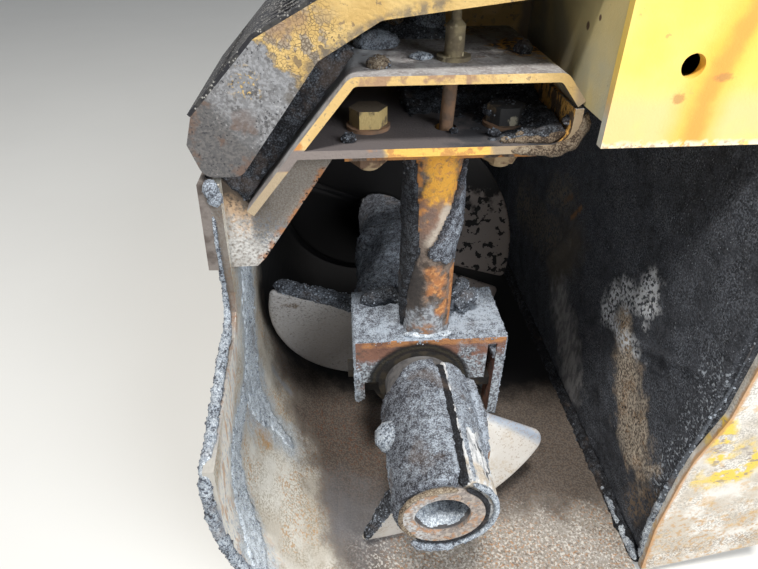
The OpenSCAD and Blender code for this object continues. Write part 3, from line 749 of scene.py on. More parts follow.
def make_flight_tree():
    """A worn helical flight: a closed blade on a helix, thin at the rim, with rounded edges."""
    tree, inner, outer = geometry_tree(
        "Screw Flight",
        [
            ("Start Angle", "NodeSocketFloat", 0.0),
            ("Turn", "NodeSocketFloat", 180.0),
            ("Start Distance", "NodeSocketFloat", 0.0),
            ("Pitch", "NodeSocketFloat", 0.305),
            ("Root Radius", "NodeSocketFloat", 0.046),
            ("Rim Radius", "NodeSocketFloat", 0.178),
            ("Root Thickness", "NodeSocketFloat", 0.013),
            ("Rim Thickness", "NodeSocketFloat", 0.008),
            ("First Corner", "NodeSocketFloat", 0.006),
            ("Last Corner", "NodeSocketFloat", 0.02),
            ("Edge Round", "NodeSocketFloat", 0.005),
            ("Wear", "NodeSocketFloat", 0.002),
            ("Steps", "NodeSocketInt", 90),
            ("Material", "NodeSocketMaterial", None),
        ],
    )
    put = inner.outputs

    def m(operation, a, b=0.0, c=0.0):
        return maths(tree, operation, a, b, c)

    grid = place(
        tree,
        "GeometryNodeMeshGrid",
        {},
        {"Size X": 1.0, "Size Y": 1.0, "Vertices X": put["Steps"], "Vertices Y": 81},
    )
    parts = place(
        tree, "ShaderNodeSeparateXYZ", {}, {0: tree.nodes.new("GeometryNodeInputPosition").outputs[0]}
    ).outputs
    u0, v = m("ADD", parts[0], 0.5), m("ADD", parts[1], 0.5)
    u = m("MULTIPLY_ADD", m("COSINE", m("MULTIPLY", u0, math.pi)), -0.5, 0.5)
    q0 = m("SUBTRACT", 1.0, m("ABSOLUTE", m("MULTIPLY_ADD", v, 2.0, -1.0)))
    q = m("SUBTRACT", 1.0, m("POWER", m("SUBTRACT", 1.0, q0), 1.8))
    side = m("SIGN", m("SUBTRACT", v, 0.5))
    turn = m("RADIANS", put["Turn"])
    angle = m("MULTIPLY_ADD", turn, u, m("RADIANS", put["Start Angle"]))
    lead = m("DIVIDE", put["Pitch"], 2 * math.pi)
    run = m("MULTIPLY", turn, put["Rim Radius"])
    to_first = m("MULTIPLY", u, run)
    to_last = m("MULTIPLY", m("SUBTRACT", 1.0, u), run)

    def corner(distance, size):
        left = m("MAXIMUM", m("SUBTRACT", size, distance), 0.0)
        inside = m("SUBTRACT", m("MULTIPLY", size, size), m("MULTIPLY", left, left))
        return m("SUBTRACT", size, m("SQRT", m("MAXIMUM", inside, 0.0)))

    def fade(distance, size):
        left = m("MAXIMUM", m("SUBTRACT", 1.0, m("DIVIDE", distance, size)), 0.0)
        return m("SQRT", m("MAXIMUM", m("SUBTRACT", 1.0, m("MULTIPLY", left, left)), 0.0))

    trim = m("ADD", corner(to_first, put["First Corner"]), corner(to_last, put["Last Corner"]))
    where = place(tree, "ShaderNodeCombineXYZ", {}, {0: m("MULTIPLY", u, run), 1: put["Start Distance"]})
    nibble = m("MULTIPLY", noise_value(tree, where.outputs[0], 40.0, 3.0), put["Wear"])
    rim = m("SUBTRACT", m("SUBTRACT", put["Rim Radius"], trim), nibble)
    r = m("MULTIPLY_ADD", m("SUBTRACT", rim, put["Root Radius"]), q, put["Root Radius"])
    thick = m("MULTIPLY_ADD", m("SUBTRACT", put["Rim Thickness"], put["Root Thickness"]), q, put["Root Thickness"])
    share = m("DIVIDE", r, put["Rim Radius"])
    for distance in (
        m("SUBTRACT", rim, r),
        m("MULTIPLY", to_first, share),
        m("MULTIPLY", to_last, share),
        m("SUBTRACT", r, put["Root Radius"]),
    ):
        thick = m("MULTIPLY", thick, fade(distance, put["Edge Round"]))
    half = m("MULTIPLY", m("MULTIPLY", thick, 0.5), side)
    slope = m("SQRT", m("ADD", m("MULTIPLY", lead, lead), m("MULTIPLY", r, r)))
    lean = m("DIVIDE", m("MULTIPLY", half, lead), slope)
    sine, cosine = m("SINE", angle), m("COSINE", angle)
    x = m("MULTIPLY_ADD", lean, sine, m("MULTIPLY", r, cosine))
    z = m("SUBTRACT", m("MULTIPLY", r, sine), m("MULTIPLY", lean, cosine))
    along = m("MULTIPLY_ADD", m("MULTIPLY", turn, u), lead, put["Start Distance"])
    y = m("ADD", along, m("DIVIDE", m("MULTIPLY", half, r), slope))
    spot = place(tree, "ShaderNodeCombineXYZ", {}, {0: x, 1: y, 2: z})
    shaped = place(
        tree, "GeometryNodeSetPosition", {}, {"Geometry": grid.outputs["Mesh"], "Position": spot.outputs[0]}
    )
    closed = place(tree, "GeometryNodeMergeByDistance", {}, {"Geometry": shaped.outputs[0], "Distance": 1e-5})
    soft = place(tree, "GeometryNodeSetShadeSmooth", {}, {"Geometry": closed.outputs[0]})
    finish_tree(tree, outer, soft.outputs[0], put["Material"])
    return tree


def half_hub_mesh(from_y, length, from_angle, turn, seed, fine):
    """A worn cast half hub on the shaft: points, faces and each point's tone."""
    step = 1.6 if fine else 4.0
    angles = np.arange(from_angle, from_angle + turn + 0.01, math.degrees(step / 50.0))
    lengths = np.arange(from_y, from_y + length + 0.01, step) / 1000 + SHAFT_END
    points, normals = round_bar(angles, lengths, SHAFT_R)
    long_grain = points * np.array([1.0, 0.16, 1.0])
    ridges = rough(long_grain, 0.006, seed, 3)
    pits = ramp(rough(points, 0.009, seed + 5, 3), 0.62, 0.75)
    thick = HUB_R - SHAFT_R - 0.0012 + 0.0022 * ridges - 0.0018 * pits + 0.0008 * grains(points, 0.004, seed)
    ends = np.minimum(lengths - lengths[0], lengths[-1] - lengths)[None, :]
    thick = thick - 0.003 * (1 - ramp(ends, 0, 0.004))
    places, faces, source = shell(points, normals, thick, 0.0)
    tone = np.clip(0.55 + 0.6 * (ridges - 0.5) - 0.5 * pits, 0, 1).reshape(-1)
    return places, faces, tone[source]


class AUGER_OT_flights(bpy.types.Operator):
    """Makes the worn flights with their half hubs"""

    bl_idname = "auger.flights"
    bl_label = "Flights"

    def execute(self, context):
        sizes = context.scene.auger_flights
        tree = make_flight_tree()
        cast = flight_finish()
        hub = hub_finish()
        segments = [("outer_flight", ["outer_segment"], [(246.0, 86.0, 79.64, 4.0, 148.5, 240.0, 0.006, sizes.corner, 186.0)], True)]
        for side, name in ((0, "inner_flights_lower"), (1, "inner_flights_upper")):
            rows = []
            for i in range(side, 4, 2):
                start = 281.0 + 152.5 * i
                rows.append((163.0 + 180 * i, 174.0, start + 2.54, start + 1, 150.5, 162.0 + 180 * i, 0.008, 0.008, 176.0))
            segments.append((name, [name.replace("flights", "segments")], rows, False))
        for name, nodes, rows, fine in segments:
            meshes = []
            for k, (angle, turn, distance, hub_y, hub_l, hub_angle, first, last, hub_turn) in enumerate(rows):
                values = {
                    "Start Angle": angle,
                    "Turn": turn,
                    "Start Distance": distance / 1000 + SHAFT_END,
                    "Pitch": PITCH,
                    "Rim Radius": FLIGHT_R,
                    "First Corner": first,
                    "Last Corner": last,
                    "Edge Round": sizes.edge_round,
                    "Wear": sizes.wear,
                    "Steps": 110 if fine else 90,
                    "Material": cast,
                }
                blade = plain_copy(grown(tree, values), name + "_blade", "auger")
                points, faces, tones = half_hub_mesh(hub_y, hub_l, hub_angle, hub_turn, 40 + k, fine)
                shell_piece = new_piece(name + "_hub", points, faces, hub, "auger")
                tone_of(shell_piece, tones)
                meshes += [blade, shell_piece]
            piece = joined(meshes, name)
            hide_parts(*nodes)
        return {"FINISHED"}


def joined(pieces, name):
    """Joins pieces of one body into the first of them, under a new name."""
    first = pieces[0]
    with bpy.context.temp_override(active_object=first, object=first, selected_editable_objects=pieces, selected_objects=pieces):
        bpy.ops.object.join()
    first.name = name
    first.data.name = name
    return first


class AugerFlights(bpy.types.PropertyGroup):
    corner: bpy.props.FloatProperty(
        name="Outer corner", description="Radius of the worn outer corner", default=0.02, min=0.005, unit="LENGTH"
    )
    edge_round: bpy.props.FloatProperty(
        name="Edge round", description="Reach of the rounding along the edges", default=0.006, min=0.002, unit="LENGTH"
    )
    wear: bpy.props.FloatProperty(
        name="Rim wear", description="Depth of the nibbled rim", default=0.002, min=0.0, unit="LENGTH"
    )


# Finishes of the asphalt and of the screw


def tone_socket(f):
    """The tone stored on a piece's points."""
    node = f.tree.nodes.new("ShaderNodeAttribute")
    node.attribute_name = "tone"
    return node.outputs["Fac"]


def crust_finish(name="caked asphalt", dark=(0.016, 0.016, 0.019), middle=(0.15, 0.165, 0.19), light=(0.50, 0.56, 0.62)):
    """Granular asphalt: black between its grains, grey dust on them, more of it where the tone is light."""
    f = Finish(name, dark, 0.95)
    height, mask = f.grit(620.0, 150.0)
    lift = maths(f.tree, "MULTIPLY_ADD", tone_socket(f), 1.1, -0.55)
    level = maths(f.tree, "ADD", mask, lift)
    f.layer(middle, smooth_step(f.tree, level, 0.0, 0.26))
    f.layer(tuple(0.6 * c for c in light), smooth_step(f.tree, level, 0.38, 0.64))
    f.layer(light, smooth_step(f.tree, level, 0.72, 0.96))
    f.layer((0.14, 0.105, 0.085), f.scaled(f.mottle(30, 0.55, 0.70), 0.5))
    f.raise_by(f.scaled(height, 0.7))
    return f.done()


def flight_finish():
    """Cast flights: polished by the mix near the front; far inside the trough pinkish grey with black spots, and
    painted shade that makes their upper and left parts black.
    """
    f = Finish("polished flight", (0.56, 0.53, 0.49), 0.5)
    f.layer((0.66, 0.65, 0.62), f.mottle(18, 0.45, 0.68))
    f.layer((0.46, 0.38, 0.28), f.scaled(f.both(f.mottle(30, 0.52, 0.66), f.mottle(300, 0.4, 0.6)), 0.7))
    worn = [(56, 149, -20), (92, 147, -43), (130, 144, -71), (149, 141, -84)]
    f.layer((0.27, 0.32, 0.40), f.scaled(f.trail(worn, 8, 0.6, 0.5, 60), 0.9))
    f.layer((0.30, 0.22, 0.15), f.scaled(f.speckle(520, 0.16, 0.6, 14), 0.6))
    first = f.band("y", 200, 380, 10)
    f.layer((0.40, 0.38, 0.37), f.scaled(first, 0.8))
    scrape = f.trail([(-150, 296, 20), (-140, 306, -4), (-116, 314, -44)], 2.2, 0.5, 0.8, 60)
    f.layer((0.13, 0.11, 0.09), f.both(first, scrape))
    f.layer((0.16, 0.12, 0.08), f.both(first, f.spot((-146, 290, 22), (16, 12, 5), 0.3, 0.9, 80)))
    f.layer((0.24, 0.22, 0.20), f.scaled(f.both(first, f.mottle(240, 0.56, 0.64, detail=6), f.mottle(20, 0.36, 0.6)), 0.8))
    f.layer((0.50, 0.50, 0.51), f.scaled(f.both(first, f.mottle(400, 0.44, 0.56, detail=6)), 0.6))
    f.layer((0.15, 0.14, 0.13), f.scaled(f.both(first, f.band("z", -12, 200, 10, 16), f.mottle(330, 0.54, 0.60, detail=6)), 0.7))
    rear = f.band("y", 385, 2000, 12)
    f.layer((0.22, 0.19, 0.18), f.scaled(rear, 0.92), 0.85)
    # painted shade: black on the upper part far inside the trough
    f.layer((0.012, 0.012, 0.013), f.both(rear, f.band("z", 66, 300, 12, 44, 40)), 0.9)
    f.layer((0.012, 0.012, 0.013), f.both(rear, f.mottle(92, 0.545, 0.565, detail=3), f.band("z", -60, 300, 20, 30, 30)), 0.9)
    # painted shade: near black on the left part far inside the trough
    f.layer((0.004, 0.004, 0.005), f.both(rear, f.band("x", -400, 24, 12, 14)), 0.98)
    height, mask = f.grit(500, 90)
    f.raise_by(f.scaled(height, 0.22))
    return f.done()


def hub_finish():
    """Worn cast half hubs: striped along the shaft, pale on the ridges and dark in the pits."""
    f = Finish("cast half hub", (0.44, 0.455, 0.48), 0.8)
    tone = tone_socket(f)
    f.layer((0.80, 0.81, 0.82), f.mottle(190, 0.40, 0.56, (1, 0.30, 1), 6))
    f.layer((0.60, 0.52, 0.42), f.scaled(f.both(f.band("y", 0, 26, 5, 4), f.mottle(80, 0.4, 0.55)), 0.9))
    f.layer((0.07, 0.073, 0.085), f.mottle(150, 0.575, 0.64, (1, 0.35, 1), 6))
    f.layer((0.05, 0.05, 0.055), f.without(smooth_step(f.tree, tone, 0.12, 0.40)))
    rear = f.band("y", 262, 2000, 6)
    f.layer((0.10, 0.105, 0.115), rear)
    f.layer((0.30, 0.32, 0.35), f.both(rear, f.mottle(220, 0.48, 0.62, detail=6)))
    f.layer((0.02, 0.02, 0.022), f.both(rear, f.mottle(45, 0.5, 0.58)))
    height, mask = f.grit(330, 80)
    f.raise_by(f.scaled(height, 0.9))
    return f.done()


# Caked asphalt


CRUSTS = {
    "grey crust": ((0.035, 0.036, 0.044), (0.14, 0.15, 0.178), (0.43, 0.485, 0.56)),
    "pale crust": ((0.09, 0.10, 0.12), (0.34, 0.39, 0.46), (0.76, 0.83, 0.90)),
    "brown crust": ((0.06, 0.042, 0.03), (0.20, 0.15, 0.105), (0.46, 0.38, 0.28)),
    "black crust": ((0.008, 0.008, 0.010), (0.028, 0.030, 0.036), (0.13, 0.145, 0.17)),
}


def crust(name):
    """One of the crust materials, made the first time that a piece needs it."""
    return bpy.data.materials.get(name) or crust_finish(name, *CRUSTS[name])


def turned_out(piece):
    """Turns a closed piece's faces outwards."""
    work = bmesh.new()
    work.from_mesh(piece.data)
    bmesh.ops.recalc_face_normals(work, faces=work.faces)
    work.to_mesh(piece.data)
    work.free()


def rope(name, path, radius, kind, body, seed, tone=0.45, ends=8.0, crumbs=1.0, lump=0.014):
    """A lumpy bead of asphalt along a path in millimetres, with one radius or one for each point."""
    knots = np.array([at(*p) for p in path])
    far = np.concatenate([[0], np.cumsum(np.linalg.norm(np.diff(knots, axis=0), axis=1))])
    s = np.arange(0, far[-1], 0.0016)
    line = np.stack([np.interp(s, far, knots[:, k]) for k in range(3)], -1)
    size = np.interp(s, far, np.broadcast_to(radius, len(knots))) / 1000
    way = np.gradient(line, axis=0)
    window = np.ones(9) / 9
    way = np.stack([np.convolve(np.pad(way[:, k], 4, mode="edge"), window, "valid") for k in range(3)], -1)
    side = np.cross(way, [0.31, 0.22, 0.93])
    side /= np.linalg.norm(side, axis=1)[:, None]
    rise = np.cross(side, way / np.linalg.norm(way, axis=1)[:, None])
    b = np.linspace(0, 2 * math.pi, 18, endpoint=False)
    ring = np.cos(b)[None, :, None] * side[:, None] + np.sin(b)[None, :, None] * rise[:, None]
    skin = line[:, None] + ring * size[:, None, None]
    swell = 0.50 + 0.80 * rough(skin, lump, seed, 3) + 0.30 * grains(skin, 0.0048, seed + 1)
    taper = np.sqrt(np.clip(np.minimum(s, s[-1] - s) * 1000 / ends, 0.02, 1))
    places = line[:, None] + ring * (size * taper)[:, None, None] * swell[..., None]
    nu, nv = places.shape[:2]
    i, j = np.meshgrid(np.arange(nu - 1), np.arange(nv), indexing="ij")
    k = (j + 1) % nv
    faces = np.stack([i * nv + j, (i + 1) * nv + j, (i + 1) * nv + k, i * nv + k], -1).reshape(-1, 4).tolist()
    faces += [list(range(nv)), [(nu - 1) * nv + q for q in reversed(range(nv))]]
    piece = new_piece(name, places.reshape(-1, 3), faces, crust(kind), body)
    turned_out(piece)
    tone_of(piece, np.clip(tone + 0.7 * (rough(places, 0.03, seed + 2) - 0.45), 0, 1).reshape(-1))
    if crumbs > 0:
        SKINS[body].append((piece, crumbs))
    return piece


def streak(points, path, reach):
    """Each point's distance from a path, as a share of the reach there; path and reach in millimetres."""
    offs = (points - np.array(at(0, 0, 0))) * 1000
    best = np.full(points.shape[:-1], 9.0)
    for a, b, reach_a, reach_b in zip(path[:-1], path[1:], reach[:-1], reach[1:]):
        run = np.array(b, float) - a
        share = np.clip((offs - a) @ run / (run @ run), 0, 1)
        far = np.linalg.norm(offs - a - share[..., None] * run, axis=-1)
        best = np.minimum(best, far / (reach_a + (reach_b - reach_a) * share))
    return best


def rim(u, v, long, wide, soft=8.0):
    """0 at a bed's border and 1 well inside it."""
    return ramp(np.minimum(np.minimum(u, long - u), np.minimum(v, wide - v)), 0, soft)


def bed(name, corner, along, across, height, kind, body, tone, step=2.2, sink=0.0015, crumbs=1.0):
    """Asphalt on a flat face, from a corner and the face's two edges as (direction, length).

    The height is a function of the distances along both edges and of the points, in millimetres."""
    u = np.arange(0, along[1] + step, step)
    v = np.arange(0, across[1] + step, step)
    gu, gv = np.meshgrid(u, v, indexing="ij")
    one, two = Vector(along[0]).normalized(), Vector(across[0]).normalized()
    points = np.array(at(*corner)) + (gu[..., None] * np.array(one) + gv[..., None] * np.array(two)) / 1000
    normals = np.broadcast_to(np.array(one.cross(two)), points.shape)
    shade = np.clip(tone + 0.8 * (rough(points, 0.028, 901) - 0.45), 0, 1)
    return caked(
        name, points, normals, height(gu, gv, points) / 1000, crust(kind), body, tone=shade, sink=sink, crumbs=crumbs
    )


class AUGER_OT_shaft_crust(bpy.types.Operator):
    """Cakes the shaft, its bolt head, its bore and the radial edges of the flights with asphalt"""

    bl_idname = "auger.shaft_crust"
    bl_label = "Shaft crust"

    def execute(self, context):
        angles = np.arange(71.0, 236.5, 2.0)
        lengths = np.arange(3.0, 158.0, 1.5) / 1000 + SHAFT_END
        points, normals = round_bar(angles, lengths, SHAFT_R)
        a = angles[:, None]
        y = (lengths[None, :] - SHAFT_END) * 1000
        base = 0.0028 + 0.0050 * ramp(a, 116, 77) + 0.0022 * ramp(y, 20, 60) + 0.002 * ramp(a, 170, 230)
        uneven = 0.0042 * (rough(points, 0.022, 3) - 0.5) + 0.0020 * grains(points, 0.0042, 5)
        back = 156 - 22 * ramp(a, 100, 150)
        edge = np.minimum(np.minimum(a - 71, 236 - a) * 0.7, np.minimum(y - 3, back - y)) / 1000
        ragged = edge + 0.003 * (rough(points, 0.008, 9) - 0.6)
        thick = np.minimum(base + uneven, ragged * 2.2)
        tone = 0.40 + 0.65 * (rough(points, 0.032, 21) - 0.5) - 0.26 * ramp(a, 110, 150) * ramp(y, 60, 120)
        tone = tone + 0.14 * ramp(a, 130, 90) - 0.16 * ramp(y, 26, 6)
        caked("shaft_crust", points, normals, thick, crust("grey crust"), "auger", tone=np.clip(tone, 0, 1))

        angles = np.arange(0.0, 360.0, 5.0)
        lengths = np.arange(2.0, 58.0, 1.5) / 1000 + SHAFT_END
        points, normals = round_bar(angles, lengths, 0.0254)
        a, y = angles[:, None], (lengths[None, :] - SHAFT_END) * 1000
        low = 0.5 - 0.5 * np.cos(np.radians(a - 80))
        thick = -0.001 + 0.006 * low * ramp(y, 2, 18) + 0.003 * (rough(points, 0.01, 31) - 0.5)
        tone = 0.62 * low + 0 * y
        caked("bore_crust", points, -normals, thick, crust("pale crust"), "auger", tone=tone, wrap=True, crumbs=0.3)

        c, s = math.cos(math.radians(160)), math.sin(math.radians(160))
        ball("bolt_clod", (43 * c, 79, 43 * s), (13.5, 14, 13.5), crust("pale crust"), "auger", 51, tone=0.36)
        turns = np.radians(np.linspace(-40, 130, 12))
        washer = [(37 * c - 15 * s * math.sin(t), 79 - 15 * math.cos(t), 37 * s + 15 * c * math.sin(t)) for t in turns]
        rope("bolt_washer_rim", washer, 2.2, "brown crust", "auger", 53, 0.25, 4.0, 0.0)

        def edge_bead(name, angle, y0, r0, r1, size, seed, tone):
            c, s = math.cos(math.radians(angle)), math.sin(math.radians(angle))
            path = [(r * c, y0, r * s) for r in np.linspace(r0, r1, 6)]
            rope(name, path, size, "black crust", "auger", seed, tone, 10.0, 1.2)

        edge_bead("outer_edge_bead", 247.0, 78.0, 52, 172, [8.0, 8.0, 7.5, 7.0, 6.0, 5.0], 301, 0.34)
        edge_bead("inner_edge_bead", 160.5, 284.0, 52, 176, [9.0, 9.5, 9.0, 8.5, 8.0, 7.0], 311, 0.60)

        def round_path(radius, y, first, last):
            turns = np.radians(np.linspace(first, last, 24))
            return [(radius * math.cos(t), y, radius * math.sin(t)) for t in turns]

        def along_shaft(angle, radius, *lengths):
            c, s = math.cos(math.radians(angle)), math.sin(math.radians(angle))
            return [(radius * c, y, radius * s) for y in lengths]

        rope("hub_gap_bead", along_shaft(67, 43.2, 3, 60, 110, 150), [5.4, 6.6, 6.8, 5.4], "black crust", "auger", 321, 0.02, 4.0, 0)
        rope("hub_gap_lip", along_shaft(76, 46.0, 8, 50, 100, 146), [2.4, 3.6, 3.8, 3.0], "grey crust", "auger", 323, 0.62, lump=0.008)
        rope("hub_far_lip", along_shaft(59.5, 48.6, 5, 50, 100, 151), [2.4, 3.2, 3.6, 3.2], "grey crust", "auger", 325, 0.68, 4.0, lump=0.008)
        side = [*along_shaft(20, 52, 150, 120), *along_shaft(4, 54, 100), *along_shaft(-12, 53, 76), *along_shaft(-24, 51, 52)]
        rope("flight_root_bead", side, [5, 7, 8, 7, 4], "grey crust", "auger", 329, 0.62, lump=0.010)
        rope("hub_end_gap", round_path(40.6, 1.5, -124, 64), 2.0, "black crust", "auger", 327, 0.02, 4.0, 0)
        rope("hub_low_bead", round_path(50.5, 3.0, 238, 292), 4.2, "grey crust", "auger", 331, 0.6)
        rope("tube_rim_bead", round_path(37.6, 1.0, 72, 236), 2.3, "brown crust", "auger", 333, 0.30, 6.0, 0, 0.007)
        rope("hub_rim_bead", round_path(48.6, 2.0, -118, 62), 2.4, "pale crust", "auger", 335, 0.35, 6.0, 0.3)
        angles = np.arange(-118.0, 63.0, 2.2)
        lengths = np.arange(4.0, 152.0, 1.8) / 1000 + SHAFT_END
        points, normals = round_bar(angles, lengths, HUB_R - 0.0012)
        a, y = angles[:, None], (lengths[None, :] - SHAFT_END) * 1000
        cover = ramp(rough(points * np.array([1.0, 0.4, 1.0]), 0.022, 337, 3) + 0.30 * ramp(y, 50, 110) - 0.12 * ramp(y, 50, 20), 0.50, 0.62)
        skin = 0.0022 * rough(points, 0.014, 338) + 0.0018 * grains(points, 0.0042, 339)
        border = np.minimum(np.minimum(a + 118, 63 - a) * 0.9, np.minimum(y - 4, 151 - y)) / 1000
        thick = np.minimum(cover * (0.0012 + skin) - 0.0004, border)
        tone = np.clip(0.66 + 0.5 * (rough(points, 0.03, 340) - 0.5) - 0.2 * ramp(y, 60, 10), 0, 1)
        caked("hub_crust", points, normals, thick, crust("grey crust"), "auger", tone=tone, crumbs=0.7)

        angles = np.arange(0.0, 360.0, 4.0)
        lengths = np.arange(264.0, 284.0, 2.0) / 1000 + SHAFT_END
        points, normals = round_bar(angles, lengths, SHAFT_R)
        y = (lengths[None, :] - SHAFT_END) * 1000
        thick = 0.012 * ramp(y, 262, 272) * (0.34 + 0.7 * rough(points, 0.03, 341)) + 0.002 * grains(points, 0.005, 342)
        tone = np.full(thick.shape, 0.40)
        caked("neck_crust", points, normals, thick, crust("grey crust"), "auger", tone=tone, wrap=True)

        angles = np.arange(20.0, 215.0, 2.5)
        lengths = np.arange(284.0, 560.0, 2.6) / 1000 + SHAFT_END
        points, normals = round_bar(angles, lengths, HUB_R - 0.0006)
        a, y = angles[:, None], (lengths[None, :] - SHAFT_END) * 1000
        lumps = ramp(rough(points, 0.055, 351, 2), 0.34, 0.72)
        border = np.minimum(np.minimum(a - 20, 214 - a) * 0.8, np.minimum(y - 283, 558 - y)) / 1000 * 1.6
        thick = np.minimum(0.015 * lumps * ramp(y, 470, 420) + 0.003 * grains(points, 0.0055, 352), border)
        tone = np.clip(0.50 + 0.4 * (rough(points, 0.04, 353) - 0.5) - 0.4 * ramp(y, 440, 540), 0, 1)
        caked("inner_shaft_crust", points, normals, thick, crust("grey crust"), "auger", tone=tone, crumbs=0.6)
        return {"FINISHED"}


class AUGER_OT_saddle_crust(bpy.types.Operator):
    """Heaps asphalt on the hanger's saddle and cakes its post"""

    bl_idname = "auger.saddle_crust"
    bl_label = "Saddle crust"

    def execute(self, context):
        path = [(92, -62), (92, 60), (-70, 60), (-70, -30)]
        lengths = np.arange(158.0, 262.0, 1.8) / 1000 + SHAFT_END
        points, normals, u = draped(path, lengths, 0.026)
        x, z = points[..., 0] * 1000, points[..., 2] * 1000
        y = (points[..., 1] - SHAFT_END) * 1000
        top = ramp(normals[..., 2], 0.4, 0.9)
        near_post = np.exp(-(((x - 8) / 42) ** 2 + ((y - 200) / 40) ** 2))
        corner = np.exp(-((np.minimum(np.hypot(x - 92, z - 60), np.hypot(x + 70, z - 60)) / 26) ** 2))
        dome = np.exp(-(((np.abs(x - 11) - 42) / 34) ** 2 + ((y - 205) / 34) ** 2))
        base = 0.0045 + top * (0.004 + 0.006 * near_post + 0.017 * dome) + 0.005 * corner * ramp(y, 250, 215)
        base = base + (1 - top) * 0.006 * ramp(z, 10, 44) * ramp(y, 250, 200)
        uneven = 0.010 * (rough(points, 0.022, 61) - 0.5) + 0.0030 * grains(points, 0.0045, 62)
        ends = np.minimum(y - 165.5, 258 - y) / 1000
        lows = np.minimum(u, u.max() - u)
        ragged = np.minimum(ends, lows) + 0.004 * (rough(points, 0.01, 63) - 0.6)
        thick = np.minimum(base + uneven, ragged * 2.5)
        tone = 0.86 + 0.5 * (rough(points, 0.03, 64) - 0.5) - 0.3 * (1 - top) * ramp(rough(points, 0.02, 65), 0.4, 0.6)
        dark = top * (np.exp(-(((x - 42) / 20) ** 2)) * ramp(y, 176, 196) + 0.6 * ramp(y, 226, 250))
        tone = np.clip(tone - 0.85 * dark, 0.02, 1)
        caked("saddle_crust", points, normals, thick, crust("grey crust"), "frame", tone=tone, crumbs=1.3)

        angles = np.arange(0.0, 360.0, 4.0)
        heights = np.arange(62.0, 266.0, 2.0) / 1000
        a, h = np.meshgrid(np.radians(angles), heights, indexing="ij")
        normals = np.stack([np.cos(a), np.sin(a), np.zeros_like(a)], -1)
        points = normals * 0.0254 + np.array([0.008, 0.195 + SHAFT_END, 0.0]) + np.stack([0 * a, 0 * a, h], -1)
        mm = h * 1000
        wander = 0.16 * (rough(points, 0.016, 74) - 0.5)
        strip = np.interp(mm, [62, 110, 150, 166, 200, 262], [0.90, 0.84, 0.66, 0.46, 0.56, 0.70])
        left = ramp(-np.cos(a) + wander - strip, 0.0, 0.14)
        edge = np.interp(mm, [136, 143, 150, 156, 162, 170, 180, 200, 217, 240, 262], [1.1, 0.7, 0.3, -0.2, -0.45, -0.3, -0.04, 0.29, 0.55, 0.71, 1.0])
        across = np.cos(a) + wander - edge
        right = ramp(across, 0.0, 0.10 + 0.7 * ramp(mm, 176, 150)) * ramp(-np.sin(a), -0.5, 0.0)
        lumps = 0.0040 + 0.005 * (rough(points, 0.02, 71) - 0.3)
        ends = np.minimum(h - 0.062, 0.266 - h) * 2
        skins = [
            ("post_crust_left", np.maximum(left, ramp(np.sin(a), 0.1, 0.5)), "black crust", 0.25, 0.1),
            ("post_crust_right", right * (0.3 + 0.7 * ramp(mm, 150, 196)), "grey crust", 0.36 - 0.9 * ramp(across, 0.26, 0.10), 0.4),
        ]
        for name, cover, kind, tone, amount in skins:
            thick = -0.0012 + cover * lumps + 0.0016 * (grains(points, 0.004, 72) - 0.5)
            shade = np.clip(tone + 0.4 * (rough(points, 0.03, 73) - 0.5), 0, 1)
            thick = np.minimum(thick, ends)
            caked(name, points, normals, thick, crust(kind), "frame", tone=shade, wrap=True, crumbs=amount)
        foot = [(-18, 174, 64), (8, 169.5, 63), (34, 174, 64)]
        rope("post_foot_bead", foot, [3.6, 2.4, 3.6], "pale crust", "frame", 75, 0.5)
        rubble = [
            ([(35, 218, 64), (40, 216, 82), (49, 218, 96), (58, 221, 90)], [9, 7, 7, 5], 0.62),
            ([(44, 210, 68), (56, 213, 82), (69, 216, 80)], [7, 8, 5], 0.70),
            ([(-62, 236, 64), (-46, 232, 71), (-28, 236, 73), (-16, 232, 68)], [5, 8, 7, 5], 0.55),
        ]
        for number, (path, sizes, tone) in enumerate(rubble):
            rope("saddle_rubble_%d" % number, path, sizes, "black crust", "frame", 460 + 5 * number, tone, 5.0, 1.0, 0.007)
        return {"FINISHED"}


